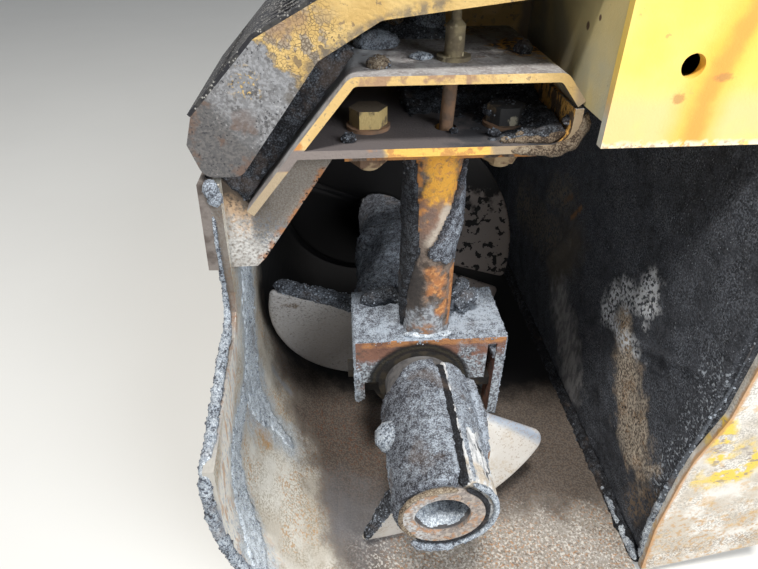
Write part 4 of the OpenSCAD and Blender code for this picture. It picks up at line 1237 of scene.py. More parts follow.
class AUGER_OT_trough_crust(bpy.types.Operator):
    """Cakes the trough's near edge, its wall and the gap beside its floor"""

    bl_idname = "auger.trough_crust"
    bl_label = "Trough crust"

    def execute(self, context):
        turns = np.radians(np.linspace(10, 90, 26))
        arc = [(-193.5 * math.cos(t), 0.5, -193.5 * math.sin(t)) for t in turns]
        wall = [(-187, 151, 230), (-189, 151, 196), (-191, 156, 148), (-192, 156, 124), (-192, 144, 106)]
        path = [*wall, (-193, 120, 103), (-193, 70, 94), (-193, 24, 86), (-194, 5, 76), (-196, 1, 58)]
        path += [(-197, 0.5, 36), (-196.5, 0.5, 12), (-194, 0.5, -16), *arc]
        sizes = [1.2, 1.6, 2.2, 3.0, 4.0, 4.2, 4.2, 4.2, 4.6, 5.0, 5.0, 5.0, 5.0, *[4.6] * 26]
        rope("trough_edge_crust", path, sizes, "pale crust", "frame", 81, 0.34, crumbs=1.2, lump=0.008)
        ball("lip_clod", (-185, 148, 252), (6, 6, 8), crust("grey crust"), "frame", 86, tone=0.55)
        ball("lip_clod_low", (-182, 148, 243), (6, 5, 7), crust("grey crust"), "frame", 89, tone=0.7)
        gap = [(250, y, -191) for y in (46, 300, 600, 960)]
        rope("floor_gap_fill", gap, 8.5, "black crust", "frame", 87, 0.15, crumbs=0.1)
        gap = [(246, y, -187) for y in (46, 80, 130, 170)]
        rope("floor_gap_crust", gap, [4.5, 4.5, 3.0, 2.0], "pale crust", "frame", 88, 0.6)

        lengths = np.arange(4.0, 330.0, 2.4)
        heights = np.arange(-124.0, 168.0, 2.4)
        y, z = np.meshgrid(lengths, heights, indexing="ij")
        x = np.where(z > 9, (z - 9) * math.tan(math.radians(2.8)) - 190, -np.sqrt(190.0**2 - np.minimum(z, 9) ** 2))
        points = np.stack([x / 1000, y / 1000 + SHAFT_END, z / 1000], -1)
        normals = np.stack([-x, np.zeros_like(x), np.where(z > 9, 0.0, -z)], -1)
        normals /= np.linalg.norm(normals, axis=-1)[..., None]
        right = [(-182, 250, 165), (-186, 232, 100), (-188, 215, 30), (-189, 188, -14), (-180, 190, -64), (-157, 182, -108)]
        left = [(-189, 186, 10), (-189, 130, 14), (-189, 76, 16), (-187, 56, -26), (-180, 38, -62), (-172, 14, -80)]
        far = streak(points, right, [30, 38, 46, 38, 20, 9])
        far = np.minimum(far, streak(points, left, [20, 20, 22, 22, 19, 14]))
        far = far + 0.8 * (rough(points, 0.030, 91) - 0.5) + 0.9 * (rough(points, 0.005, 93, 2) - 0.5)
        cover = ramp(far, 1.10, 0.70)
        skin = 0.2 + 2.0 * rough(points, 0.014, 89) + 1.6 * grains(points, 0.0042, 90)
        border = np.minimum(np.minimum(y - 4, 328 - y), np.minimum(z + 124, 166 - z))
        thick = np.minimum(np.clip(cover * skin - 0.7, -1, 4.0), border) / 1000
        tone = np.clip(0.80 + 0.7 * (rough(points, 0.03, 92) - 0.5), 0, 1)
        caked("wall_streak", points, normals, thick, crust("pale crust"), "frame", tone=tone, crumbs=0.5)
        return {"FINISHED"}


class AUGER_OT_beam_crust(bpy.types.Operator):
    """Lays asphalt on the beam, in its channel, in the groove beside its leg and on the guard's mesh"""

    bl_idname = "auger.beam_crust"
    bl_label = "Beam crust"

    def execute(self, context):
        def groove(u, v, points):
            crumbly = 3 + 9 * rough(points, 0.014, 401) + 5 * grains(points, 0.009, 402)
            return np.where(rim(u, v, 158, 44, 2.0) > 0, crumbly, -1)

        corner = (-160, 176, 228)
        edges = ((0.626, 0, 0.780), 158), ((-0.780, 0, 0.626), 44)
        bed("groove_fill", corner, *edges, groove, "black crust", "frame", 0.28, sink=0.012, crumbs=0.15)

        def channel(u, v, points):
            corner = ramp(u, 40, 118) * (5 + 11 * ramp(u, 70, 132)) + 12 * ramp(v, 66, 120)
            bumps = 9 * (rough(points, 0.02, 411) - 0.45) + 5 * grains(points, 0.011, 412)
            return corner + bumps - 5.5 - 14 * (1 - rim(u, v, 132, 160, 6.0))

        edges = ((1, 0, 0), 132), ((0, 1, 0), 160)
        bed("channel_heap", (-20, 153, 281), *edges, channel, "black crust", "frame", 0.42, crumbs=0.3)
        ball("bolt_cap", (68, 204, 293), (18, 15, 7), crust("black crust"), "frame", 415, tone=0.75)
        clods = [
            (58, 156, 284, 4, "brown crust"),
            (73, 162, 285, 5, "brown crust"),
            (90, 157, 285, 6, "black crust"),
            (52, 170, 285, 5, "black crust"),
            (112, 160, 298, 7, "black crust"),
            (-70, 166, 285, 6, "black crust"),
            (20, 180, 284, 4, "black crust"),
        ]
        for number, (x, y, z, r, kind) in enumerate(clods):
            size = (r, 0.8 * r, 0.7 * r)
            ball("channel_clod_%d" % number, (x, y, z), size, crust(kind), "frame", 420 + number, tone=0.35, rings=10)
        path = [(62, 148, 278), (96, 148, 277), (112, 149, 282), (119, 150, 294), (120, 150, 308)]
        rope("beam_end_bead", path, [2.5, 4.5, 5.0, 4.5, 3.0], "brown crust", "frame", 430, 0.22, crumbs=0, lump=0.006)
        path = [(56, 155, 283), (76, 155, 284), (94, 154, 284), (108, 155, 290)]
        rope("channel_front_bead", path, [1.5, 3.0, 3.6, 3.2], "brown crust", "frame", 433, 0.12, crumbs=0, lump=0.006)

        def bank(u, v, points):
            back = ramp(v, 84, 118) * ramp(u, 120, 84)
            bumps = 16 * (rough(points, 0.020, 441) - 0.42) + 8 * grains(points, 0.012, 442)
            fine = 2.5 * (rough(points, 0.01, 443) - 0.5) - 12 * (1 - rim(u, v, 178, 140, 5.0))
            return (12 + bumps) * back + fine - 3.0

        edges = ((1, 0, 0), 178), ((0, 1, 0), 140)
        bed("top_bank", (-78, 172, 338), *edges, bank, "black crust", "frame", 0.62, crumbs=0.4)
        lumps = [
            ("top_lump", (-43, 240, 343), (18, 12, 9), "grey crust", 0.66),
            ("top_chunk", (10, 290, 352), (16, 12, 18), "grey crust", 0.5),
            ("brown_rock", (-26, 292, 350), (14, 10, 16), "brown crust", 0.2),
            ("brown_nub", (-45, 176, 341), (9, 10, 6), "brown crust", 0.45),
            ("black_nub", (80, 211, 342), (7, 8, 7), "black crust", 0.4),
            ("chip_left", (-8, 200, 340), (9, 8, 3), "pale crust", 0.4),
        ]
        for number, (name, place_at, size, kind, tone) in enumerate(lumps):
            ball(name, place_at, size, crust(kind), "frame", 450 + number, tone=tone, rings=14)

        path = [(-188, 305), (-134, 360), (-86, 385), (110, 421)]
        lengths = np.arange(154.0, 318.0, 2.4) / 1000 + SHAFT_END
        points, normals, u = draped(path, lengths, 0.010, 0.0024)
        clog = ramp(rough(points, 0.034, 461, 3) + 0.25 * rough(points, 0.008, 462, 2), 0.50, 0.72)
        thick = (clog * 6.5 - 0.8 + 1.2 * grains(points, 0.005, 463)) / 1000
        y = (points[..., 1] - SHAFT_END) * 1000
        thick = np.minimum(thick, np.minimum(np.minimum(u, u.max() - u), np.minimum(y - 154, 316 - y) / 1000))
        tone = np.full(thick.shape, 0.35)
        caked("mesh_clog", points, normals, thick, crust("black crust"), "frame", tone=tone, sink=0.003, crumbs=0.3)
        return {"FINISHED"}


class AUGER_OT_wall_crust(bpy.types.Operator):
    """Lays the uneven asphalt skin on the rear wall and the crust on its near edge"""

    bl_idname = "auger.wall_crust"
    bl_label = "Rear wall crust"

    def execute(self, context):
        lengths = np.arange(46.0, 600.0, 3.6)
        heights = np.arange(-188.0, 309.0, 3.6)
        y, z = np.meshgrid(lengths, heights, indexing="ij")
        points = np.stack([np.full_like(y, 0.257), y / 1000 + SHAFT_END, z / 1000], -1)
        normals = np.broadcast_to(np.array([-1.0, 0.0, 0.0]), points.shape)
        large = 1.5 + 6.5 * (rough(points, 0.11, 501, 3) - 0.4)
        thick = large + 2.4 * (rough(points, 0.016, 502) - 0.4) + 1.4 * grains(points, 0.0075, 503)
        ridges = [
            ([(257, 190, 19), (257, 82, 79)], 3.5, 3.0),
            ([(257, 165, 14), (257, 128, 33)], 3.0, 2.0),
            ([(257, 470, -46), (257, 414, 24)], 10, 6.0),
            ([(257, 205, 96), (257, 222, 10)], 14, 2.5),
            ([(257, 520, 40), (257, 440, 150)], 22, 5.0),
        ]
        for path, wide, high in ridges:
            thick = thick + high * np.exp(-(streak(points, path, [wide, wide]) ** 2))
        worn = np.exp(-(((y - 165) / 36) ** 2 + ((z + 45) / 84) ** 2))
        thick = thick * (1 - 0.75 * worn)
        slope = 190 + (np.minimum(y, 104) - 44) * (296 - 190) / 60
        border = np.minimum(np.minimum(y - 46, 598 - y), np.minimum(z + 188, np.minimum(slope, 309) - 3 - z))
        thick = np.clip(np.minimum(thick, border * 0.8), -1, 11) / 1000
        material = bpy.data.materials["caked rear wall"]
        caked("rear_wall_crust", points, normals, thick, material, "frame", crumbs=0.0)
        edge = [
            (258, 46, 150),
            (257, 46, 96),
            (252, 46, 60),
            (248, 46, 20),
            (243, 46, -20),
            (241, 46, -80),
            (243, 46, -130),
            (251, 46, -184),
        ]
        rope("wall_near_bead", edge[:6], [1.0, 1.2, 1.6, 2.0, 2.4, 2.8], "black crust", "frame", 510, 0.85, crumbs=1.0, lump=0.008)
        rope("wall_low_bead", edge[4:], [1.5, 3.0, 3.6, 3.2], "pale crust", "frame", 512, 0.50, crumbs=1.0, lump=0.007)
        return {"FINISHED"}


class AUGER_OT_crumbs(bpy.types.Operator):
    """Scatters loose crumbs of asphalt over every crust"""

    bl_idname = "auger.crumbs"
    bl_label = "Crumbs"

    def execute(self, context):
        sizes = context.scene.auger_crumbs
        tree, inner, outer = geometry_tree(
            "Crumbs",
            [
                ("Density", "NodeSocketFloat", 9000.0),
                ("Smallest", "NodeSocketFloat", 0.001),
                ("Largest", "NodeSocketFloat", 0.003),
                ("Seed", "NodeSocketInt", 7),
                ("Material", "NodeSocketMaterial", None),
            ],
        )
        put = inner.outputs
        share = place(tree, "GeometryNodeInputNamedAttribute", {"data_type": "FLOAT"}, {"Name": "crumbs"})
        spread = place(
            tree,
            "GeometryNodeDistributePointsOnFaces",
            {"distribute_method": "RANDOM"},
            {
                "Mesh": put["Geometry"],
                "Density": maths(tree, "MULTIPLY", share.outputs[0], put["Density"]),
                "Seed": put["Seed"],
            },
        )
        stone = place(tree, "GeometryNodeMeshIcoSphere", {}, {"Radius": 1.0, "Subdivisions": 1})

        def chance(kind, number, low, high):
            node = place(tree, "FunctionNodeRandomValue", {"data_type": kind}, {"Seed": put["Seed"]})
            feed(tree, node.inputs[number], low)
            feed(tree, node.inputs[number + 1], high)
            return node.outputs[0 if kind == "FLOAT_VECTOR" else 1]

        scale = place(
            tree,
            "ShaderNodeVectorMath",
            {"operation": "SCALE"},
            {
                0: chance("FLOAT_VECTOR", 0, (0.6, 0.6, 0.5), (1.1, 1.1, 0.9)),
                "Scale": chance("FLOAT", 2, put["Smallest"], put["Largest"]),
            },
        )
        stones = place(
            tree,
            "GeometryNodeInstanceOnPoints",
            {},
            {
                "Points": spread.outputs["Points"],
                "Instance": stone.outputs["Mesh"],
                "Rotation": chance("FLOAT_VECTOR", 0, (0.0, 0.0, 0.0), (6.3, 6.3, 6.3)),
                "Scale": scale.outputs[0],
            },
        )
        finish_tree(tree, outer, stones.outputs[0], put["Material"])
        for body, rows in SKINS.items():
            mesh = bpy.data.meshes.new("skins")
            work = bmesh.new()
            layer = work.verts.layers.float.new("crumbs")
            for piece, amount in rows:
                start = len(work.verts)
                work.from_mesh(piece.data)
                work.verts.ensure_lookup_table()
                for vert in work.verts[start:]:
                    vert[layer] = amount
            work.to_mesh(mesh)
            work.free()
            values = {
                "Density": sizes.density,
                "Smallest": sizes.smallest,
                "Largest": sizes.largest,
                "Seed": 7,
                "Material": crust("grey crust"),
            }
            piece = plain_copy(grown(tree, values, mesh), "crumbs_" + body, body)
            if len(piece.data.polygons) == 0:
                raise RuntimeError("no crumbs were made on " + body)
            corners = np.empty(len(piece.data.vertices) * 3)
            piece.data.vertices.foreach_get("co", corners)
            places = corners.reshape(-1, 12, 3).mean(axis=1)
            tone = 0.42 + 0.7 * (rough(places, 0.02, 601) - 0.5) + 0.3 * (hashed(places * 4000, 602) - 0.5)
            tone_of(piece, np.repeat(np.clip(tone, 0, 1), 12))
            piece.data.shade_flat()
        return {"FINISHED"}


class AugerCrumbs(bpy.types.PropertyGroup):
    density: bpy.props.FloatProperty(
        name="Density", description="Crumbs on each square metre of crust", default=38000.0, min=0.0
    )
    smallest: bpy.props.FloatProperty(
        name="Smallest crumb", description="Radius of the smallest crumbs", default=0.0006, unit="LENGTH"
    )
    largest: bpy.props.FloatProperty(
        name="Largest crumb", description="Radius of the largest crumbs", default=0.0017, unit="LENGTH"
    )
# Finishes of the plates

YELLOW = (0.84, 0.56, 0.16)
RUST = (0.36, 0.17, 0.075)
BROWN = (0.16, 0.10, 0.065)
BLACK = (0.014, 0.015, 0.018)
DUST = (0.24, 0.225, 0.215)
PALE = (0.62, 0.60, 0.57)
ASPHALT = ((0.022, 0.024, 0.028), (0.15, 0.17, 0.20), (0.56, 0.62, 0.68))


def gritted(f, strength=0.25, scale=420.0, lumps=70.0):
    """Fine unevenness for a painted or rusty plate."""
    height, mask = f.grit(scale, lumps)
    f.raise_by(f.scaled(height, strength))
    return mask


def trough_finish():
    f = Finish("worn trough plate", (0.56, 0.52, 0.45), 0.72)
    fine = f.mottle(430, 0.46, 0.56, detail=6)
    coarse = f.mottle(300, 0.53, 0.60, detail=6)
    f.layer((0.74, 0.72, 0.66), f.mottle(12, 0.42, 0.62))
    f.layer((0.34, 0.29, 0.21), f.scaled(f.both(fine, f.mottle(40, 0.30, 0.6, detail=6)), 0.7))
    f.layer((0.52, 0.32, 0.16), f.scaled(f.both(coarse, f.mottle(20, 0.40, 0.58)), 0.8))
    near = f.trail([(-189, 130, 110), (-190, 60, 60), (-190, 14, 20), (-187, 4, -40), (-170, 6, -90)], 28, 0.6, 0.6, 40)
    f.layer((0.90, 0.87, 0.80), f.scaled(near, 0.95))
    f.layer((0.62, 0.38, 0.21), f.scaled(f.both(near, f.mottle(150, 0.53, 0.60, (1, 1, 0.22), 6)), 0.75))
    f.layer((0.42, 0.48, 0.58), f.scaled(f.both(near, f.mottle(330, 0.54, 0.60, (1, 1, 0.5), 6)), 0.6))
    # painted shadow: behind the shade line the trough is painted darker, with its grains and a reddish patch, standing
    # in for the shadow of the beam and the hanger; deeper in it is painted darker still
    shade = f.line((-144, 211, -123), (0.943, 0.33, 0), 0, 700, 26, 22, 26)
    deep_shade_zone = f.either(f.band("y", 118, 2000, 26, 30, 24), f.band("x", -200, -40, 20))
    dark = f.both(shade, deep_shade_zone)
    f.layer((0.20, 0.17, 0.14), f.scaled(shade, 0.8))
    f.layer((0.42, 0.39, 0.36), f.scaled(f.both(shade, fine), 0.75))
    f.layer((0.42, 0.22, 0.10), f.scaled(f.both(shade, coarse, f.mottle(17, 0.40, 0.58)), 0.85))
    f.layer((0.055, 0.044, 0.038), f.scaled(dark, 0.88))
    f.layer((0.14, 0.062, 0.036), f.scaled(f.both(dark, f.spot((-75, 230, -165), (80, 60, 60), 0.8, 0.6, 30), coarse), 0.9))
    f.layer((0.19, 0.155, 0.13), f.scaled(f.both(dark, fine), 0.6))
    floor = f.band("x", -70, 300, 30, 20)
    f.layer((0.66, 0.63, 0.58), f.scaled(f.both(floor, f.band("y", -50, 110, 30, 30), f.mottle(330, 0.53, 0.59, detail=6)), 0.8))
    f.layer((0.15, 0.115, 0.09), f.scaled(f.both(floor, f.mottle(360, 0.56, 0.61, detail=6)), 0.75))
    # a greyer patch inside the painted shadow
    f.layer((0.20, 0.20, 0.215), f.scaled(f.both(shade, f.spot((-82, 110, -168), (58, 46, 46), 0.9, 0.7, 30)), 0.7))
    # painted shade: the trough is near black deep inside the tunnel, standing in for its dark
    f.layer((0.004, 0.004, 0.005), f.scaled(f.band("y", 318, 2000, 34, 30, 24), 0.99), 0.98)
    f.layer((0.50, 0.29, 0.12), f.scaled(f.both(f.trail([(-190, 160, 6), (-186, 160, -36), (-176, 156, -72)], 9, 0.7, 0.8, 70), f.mottle(300, 0.36, 0.54, detail=6)), 0.9))
    blue = f.either(
        f.trail([(-182, 250, 165), (-186, 232, 100), (-188, 215, 30), (-189, 192, -14)], 50, 0.5, 0.7, 60),
        f.trail([(-189, 192, -14), (-180, 190, -64), (-157, 182, -108)], 20, 0.7, 0.8, 60),
        f.trail([(-189, 186, 10), (-189, 76, 16), (-187, 56, -26), (-172, 14, -80)], 24, 0.6, 0.8, 60),
    )
    grain = f.mottle(560, 0.38, 0.58, detail=6)
    f.layer((0.42, 0.48, 0.54), f.scaled(f.both(blue, f.mottle(40, 0.25, 0.5)), 0.8), 0.9)
    f.layer((0.78, 0.84, 0.89), f.scaled(f.both(blue, grain), 0.85))
    f.layer((0.15, 0.18, 0.23), f.scaled(f.both(blue, f.mottle(500, 0.57, 0.64, detail=6)), 0.7))
    f.layer((0.30, 0.33, 0.37), f.scaled(f.trail([(-177, 268, -68), (-158, 262, -104)], 5, 0.9, 0.6, 90), 0.6))
    f.layer((0.46, 0.20, 0.07), f.scaled(f.both(f.spot((-187, 152, 122), (8, 9, 20), 0.6, 0.9, 120), grain), 0.9))
    outside = f.either(f.facing((-1, 0, 0), 0.5, 0.8), f.facing((0, 0, -1), 0.5, 0.8))
    f.layer((0.10, 0.09, 0.08), outside, 0.9)
    f.layer((0.30, 0.19, 0.11), f.both(outside, f.mottle(12, 0.45, 0.6)))
    edge = f.either(f.facing((0, -1, 0), 0.6, 0.9), f.both(f.facing((0, 0, 1), 0.6, 0.9), f.band("x", -230, -185, 1)))
    f.layer((0.20, 0.22, 0.26), f.scaled(f.both(edge, f.band("z", -200, 90, 10)), 0.85))
    f.layer((0.13, 0.105, 0.09), f.scaled(f.both(edge, f.band("z", 90, 400, 10)), 0.85))
    f.layer((0.46, 0.44, 0.40), f.both(edge, f.band("z", 34, 84, 8, 10, 60), f.band("y", -20, 26, 6)))
    height, mask = f.grit(500, 60)
    f.raise_by(f.scaled(height, 0.3))
    f.raise_by(f.scaled(f.both(blue, grain), 1.0))
    return f.done()


def rear_wall_finish():
    f = Finish("caked rear wall", (0.018, 0.020, 0.026), 0.9)
    height, mask = f.grit(430, 70)
    fine = f.mottle(520, 0.46, 0.60, detail=6)
    f.layer((0.078, 0.084, 0.10), f.scaled(mask, 0.95))
    f.layer((0.20, 0.22, 0.26), f.scaled(f.both(fine, f.mottle(26, 0.30, 0.62)), 0.75))
    f.layer((0.44, 0.48, 0.54), f.scaled(f.both(f.mottle(470, 0.62, 0.68, detail=6), f.mottle(14, 0.40, 0.62)), 0.9))
    dust = f.either(
        f.trail([(257, 649, -36), (257, 560, -24), (257, 470, -6)], 34, 0.8, 0.9, 40),
        f.trail([(257, 500, 60), (257, 450, 80)], 22, 0.9, 0.9, 40),
    )
    f.layer((0.24, 0.21, 0.17), f.scaled(f.both(dust, f.mottle(200, 0.40, 0.58, detail=6)), 0.9))
    f.layer((0.15, 0.13, 0.105), f.scaled(f.trail([(257, 430, -40), (257, 400, 30)], 34, 0.8, 0.8, 30), 0.8))
    f.layer((0.46, 0.24, 0.11), f.scaled(f.trail([(257, 425, 55), (257, 402, 84)], 4, 0.8, 1.0, 110), 0.8))
    f.layer((0.26, 0.15, 0.09), f.scaled(f.trail([(257, 460, 66), (257, 440, 84)], 4, 0.8, 1.0, 110), 0.8))
    lens = f.trail([(257, 400, -80), (257, 344, -112), (257, 304, -150)], 34, 0.6, 0.7, 40)
    f.layer((0.30, 0.30, 0.31), f.scaled(lens, 0.7))
    f.layer((0.52, 0.52, 0.53), f.scaled(f.both(lens, f.mottle(110, 0.42, 0.58, (1, 1, 0.4), 6)), 0.7))
    worn = f.either(
        f.trail([(257, 222, 26), (257, 205, 0), (257, 186, -30)], 17, 0.6, 0.9, 40),
        f.trail([(257, 186, -30), (257, 160, -56), (257, 128, -66)], 27, 0.6, 1.0, 36),
        f.trail([(257, 150, -74), (257, 118, -88)], 28, 0.6, 1.1, 36),
        f.trail([(257, 100, -86), (257, 78, -66)], 9, 0.7, 1.2, 46),
    )
    f.layer((0.25, 0.20, 0.155), f.scaled(worn, 0.85))
    f.layer((0.74, 0.64, 0.52), f.scaled(f.both(worn, f.mottle(330, 0.42, 0.56, detail=6)), 0.95))
    f.layer((0.42, 0.24, 0.11), f.scaled(f.both(worn, f.mottle(44, 0.48, 0.58), fine), 0.75))
    f.layer((0.03, 0.03, 0.034), f.both(worn, f.mottle(300, 0.585, 0.64, detail=6)))
    pale = f.either(
        f.trail([(257, 196, 98), (257, 214, 72), (257, 250, 50), (257, 262, 14)], 14, 0.7, 1.5, 40),
        f.trail([(257, 238, 50), (257, 200, 62), (257, 176, 84)], 10, 0.7, 1.5, 50),
        f.trail([(257, 190, 70), (257, 182, 56)], 8, 0.7, 1.4, 60),
        f.trail([(257, 262, 10), (257, 214, 6), (257, 190, 12)], 11, 0.8, 1.3, 50),
    )
    f.layer((0.92, 0.95, 1.0), f.both(pale, f.mottle(210, 0.42, 0.52, detail=6)))
    crease = f.either(
        f.trail([(257, 190, 19), (257, 130, 55), (257, 82, 79)], 2.2, 0.7, 0.8, 60),
        f.trail([(257, 165, 14), (257, 128, 33)], 1.8, 0.7, 1.2, 60),
    )
    f.layer((0.70, 0.71, 0.75), f.scaled(f.both(crease, f.mottle(200, 0.40, 0.54, detail=6)), 0.85))
    low = f.both(f.trail([(257, 92, -150), (257, 70, -100)], 16, 0.8, 0.9, 50), f.mottle(220, 0.44, 0.58, detail=6))
    f.layer((0.24, 0.17, 0.11), f.scaled(low, 0.8))
    near = f.both(f.band("y", 40, 82, 12, 22, 40), f.band("z", -90, 110, 14, 20))
    f.layer((0.50, 0.55, 0.62), f.scaled(f.both(near, f.mottle(260, 0.55, 0.62, detail=6)), 0.8))
    f.raise_by(f.scaled(height, 1.1))
    f.raise_by(f.scaled(crease, 1.0))
    return f.done()


def rear_end_finish():
    f = Finish("worn end plate", (0.56, 0.50, 0.42), 0.7)
    fine = f.mottle(520, 0.44, 0.60, detail=6)
    f.layer((0.76, 0.73, 0.68), f.mottle(30, 0.40, 0.62))
    f.layer((0.33, 0.30, 0.26), f.scaled(f.both(fine, f.mottle(36, 0.36, 0.6)), 0.7))
    f.layer((0.62, 0.40, 0.16), f.scaled(f.both(f.mottle(90, 0.54, 0.64, detail=6), f.mottle(20, 0.40, 0.56)), 0.6))
    f.layer((0.50, 0.30, 0.13), f.scaled(f.both(f.band("z", -200, -70, 30, 20), f.mottle(160, 0.50, 0.62, detail=6)), 0.7))
    zone = f.either(
        f.trail([(262, 36, 54), (268, 36, 12), (296, 36, -18)], 10, 0.5, 0.9, 50),
        f.trail([(290, 36, -14), (322, 36, 14), (360, 36, 34), (400, 36, 60)], 24, 0.4, 1.0, 34),
    )
    yellow = f.both(zone, f.mottle(52, 0.42, 0.50, detail=6))
    f.layer((0.78, 0.56, 0.10), yellow)
    f.layer((0.30, 0.25, 0.22), f.scaled(f.both(zone, f.mottle(110, 0.57, 0.62, (1, 1, 2), 6)), 0.8))
    f.layer((0.62, 0.42, 0.14), f.both(f.band("x", 388, 420, 10, 30), f.mottle(15, 0.35, 0.5)))
    f.layer((0.28, 0.24, 0.20), f.scaled(f.both(f.trail([(252, 36, -178), (290, 36, -150), (400, 36, -120)], 9, 0.8, 1.2, 40), fine), 0.8))
    rusty = f.trail([(250, 36, -185), (242, 36, -108), (245, 36, 0), (262, 36, 66), (264, 36, 190)], 2.6, 0.6, 0.8, 90)
    f.layer((0.52, 0.27, 0.10), f.scaled(rusty, 0.8))
    gritted(f, 0.3)
    f.raise_by(f.scaled(yellow, 0.5))
    return f.done()


def weathered_yellow(name="weathered yellow", dusty=0.6, color=YELLOW):
    """Old yellow paint with dust, chips and rust, for the plates that are mostly out of sight."""
    f = Finish(name, color, 0.55)
    f.layer(tuple(c * 0.72 for c in color), f.mottle(8, 0.4, 0.62))
    f.layer(DUST, f.scaled(f.both(f.facing((0, 0, 1), 0.5, 0.9), f.mottle(10, 0.3, 0.55)), dusty), 0.9)
    f.layer(RUST, f.both(f.mottle(34, 0.60, 0.64), f.mottle(7, 0.45, 0.55)), 0.9)
    f.layer(BLACK, f.scaled(f.both(f.mottle(22, 0.55, 0.66), f.mottle(5, 0.45, 0.6)), 0.8), 0.9)
    gritted(f, 0.2)
    return f.done()


def end_plate_finish():
    f = Finish("yellow end plate", (0.93, 0.64, 0.13), 0.42)
    f.layer((0.95, 0.70, 0.20), f.mottle(9, 0.42, 0.62))
    f.layer((0.86, 0.58, 0.27), f.scaled(f.both(f.band("z", 250, 338, 16, 6, 25), f.mottle(13, 0.3, 0.5)), 0.85))
    streak = [(200, 104, 402), (193, 104, 380), (185, 104, 354), (180, 104, 329), (180, 104, 298)]
    f.layer((0.93, 0.50, 0.07), f.scaled(f.trail(streak, 17, 0.7, 0.25, 40), 0.85))
    f.layer((0.80, 0.33, 0.07), f.scaled(f.trail([(x + 3, y, z) for x, y, z in streak], 7, 0.7, 0.6, 60), 0.8))
    f.layer((0.90, 0.52, 0.10), f.scaled(f.trail([(235, 104, 400), (226, 104, 350)], 12, 0.8, 0.6, 40), 0.6))
    f.layer((0.42, 0.22, 0.08), f.scaled(f.either(f.spot((163, 104, 332), (4, 9, 4), 0.4, 0.8, 200), f.spot((192, 104, 346), (6, 9, 3), 0.4, 0.8, 200)), 0.7))
    f.layer((0.55, 0.33, 0.12), f.scaled(f.both(f.mottle(90, 0.66, 0.70, detail=6), f.mottle(14, 0.46, 0.56)), 0.6))
    f.layer((0.90, 0.78, 0.55), f.both(f.band("z", 250, 300, 2, 3, 120), f.mottle(160, 0.35, 0.5)))
    f.layer((0.45, 0.34, 0.22), f.scaled(f.both(f.band("z", 250, 299, 1.5, 3, 150), f.mottle(260, 0.52, 0.60, detail=6)), 0.8))
    side = f.facing((-1, 0, 0), 0.5, 0.9)
    f.layer((0.62, 0.62, 0.55), f.both(side, f.band("z", 250, 322, 8, 6)))
    f.layer(DUST, f.scaled(f.both(f.facing((0, 1, 0), 0.5, 0.9), f.mottle(8, 0.3, 0.5)), 0.7), 0.9)
    gritted(f, 0.10)
    return f.done()


def side_wall_finish():
    f = Finish("pale side wall", (0.64, 0.54, 0.27), 0.6)
    f.layer((0.72, 0.60, 0.30), f.mottle(12, 0.42, 0.62))
    f.layer((0.56, 0.55, 0.42), f.scaled(f.both(f.band("z", 300, 352, 22, 12, 30), f.mottle(16, 0.3, 0.55)), 0.9))
    f.layer((0.36, 0.33, 0.22), f.scaled(f.trail([(116, 262, 440), (116, 246, 372), (116, 220, 340)], 15, 0.6, 0.5, 40), 0.7))
    f.layer((0.30, 0.29, 0.26), f.scaled(f.both(f.band("y", 268, 980, 20, 14), f.mottle(14, 0.25, 0.5)), 0.85))
    f.layer(BROWN, f.either(f.spot((116, 173, 367), (6, 3, 3), 0.3, 0.3), f.spot((116, 154, 376), (6, 2, 2), 0.3, 0.3)))
    f.layer(BROWN, f.scaled(f.both(f.mottle(110, 0.68, 0.71, detail=6), f.mottle(14, 0.45, 0.55)), 0.7))
    gritted(f, 0.12)
    return f.done()


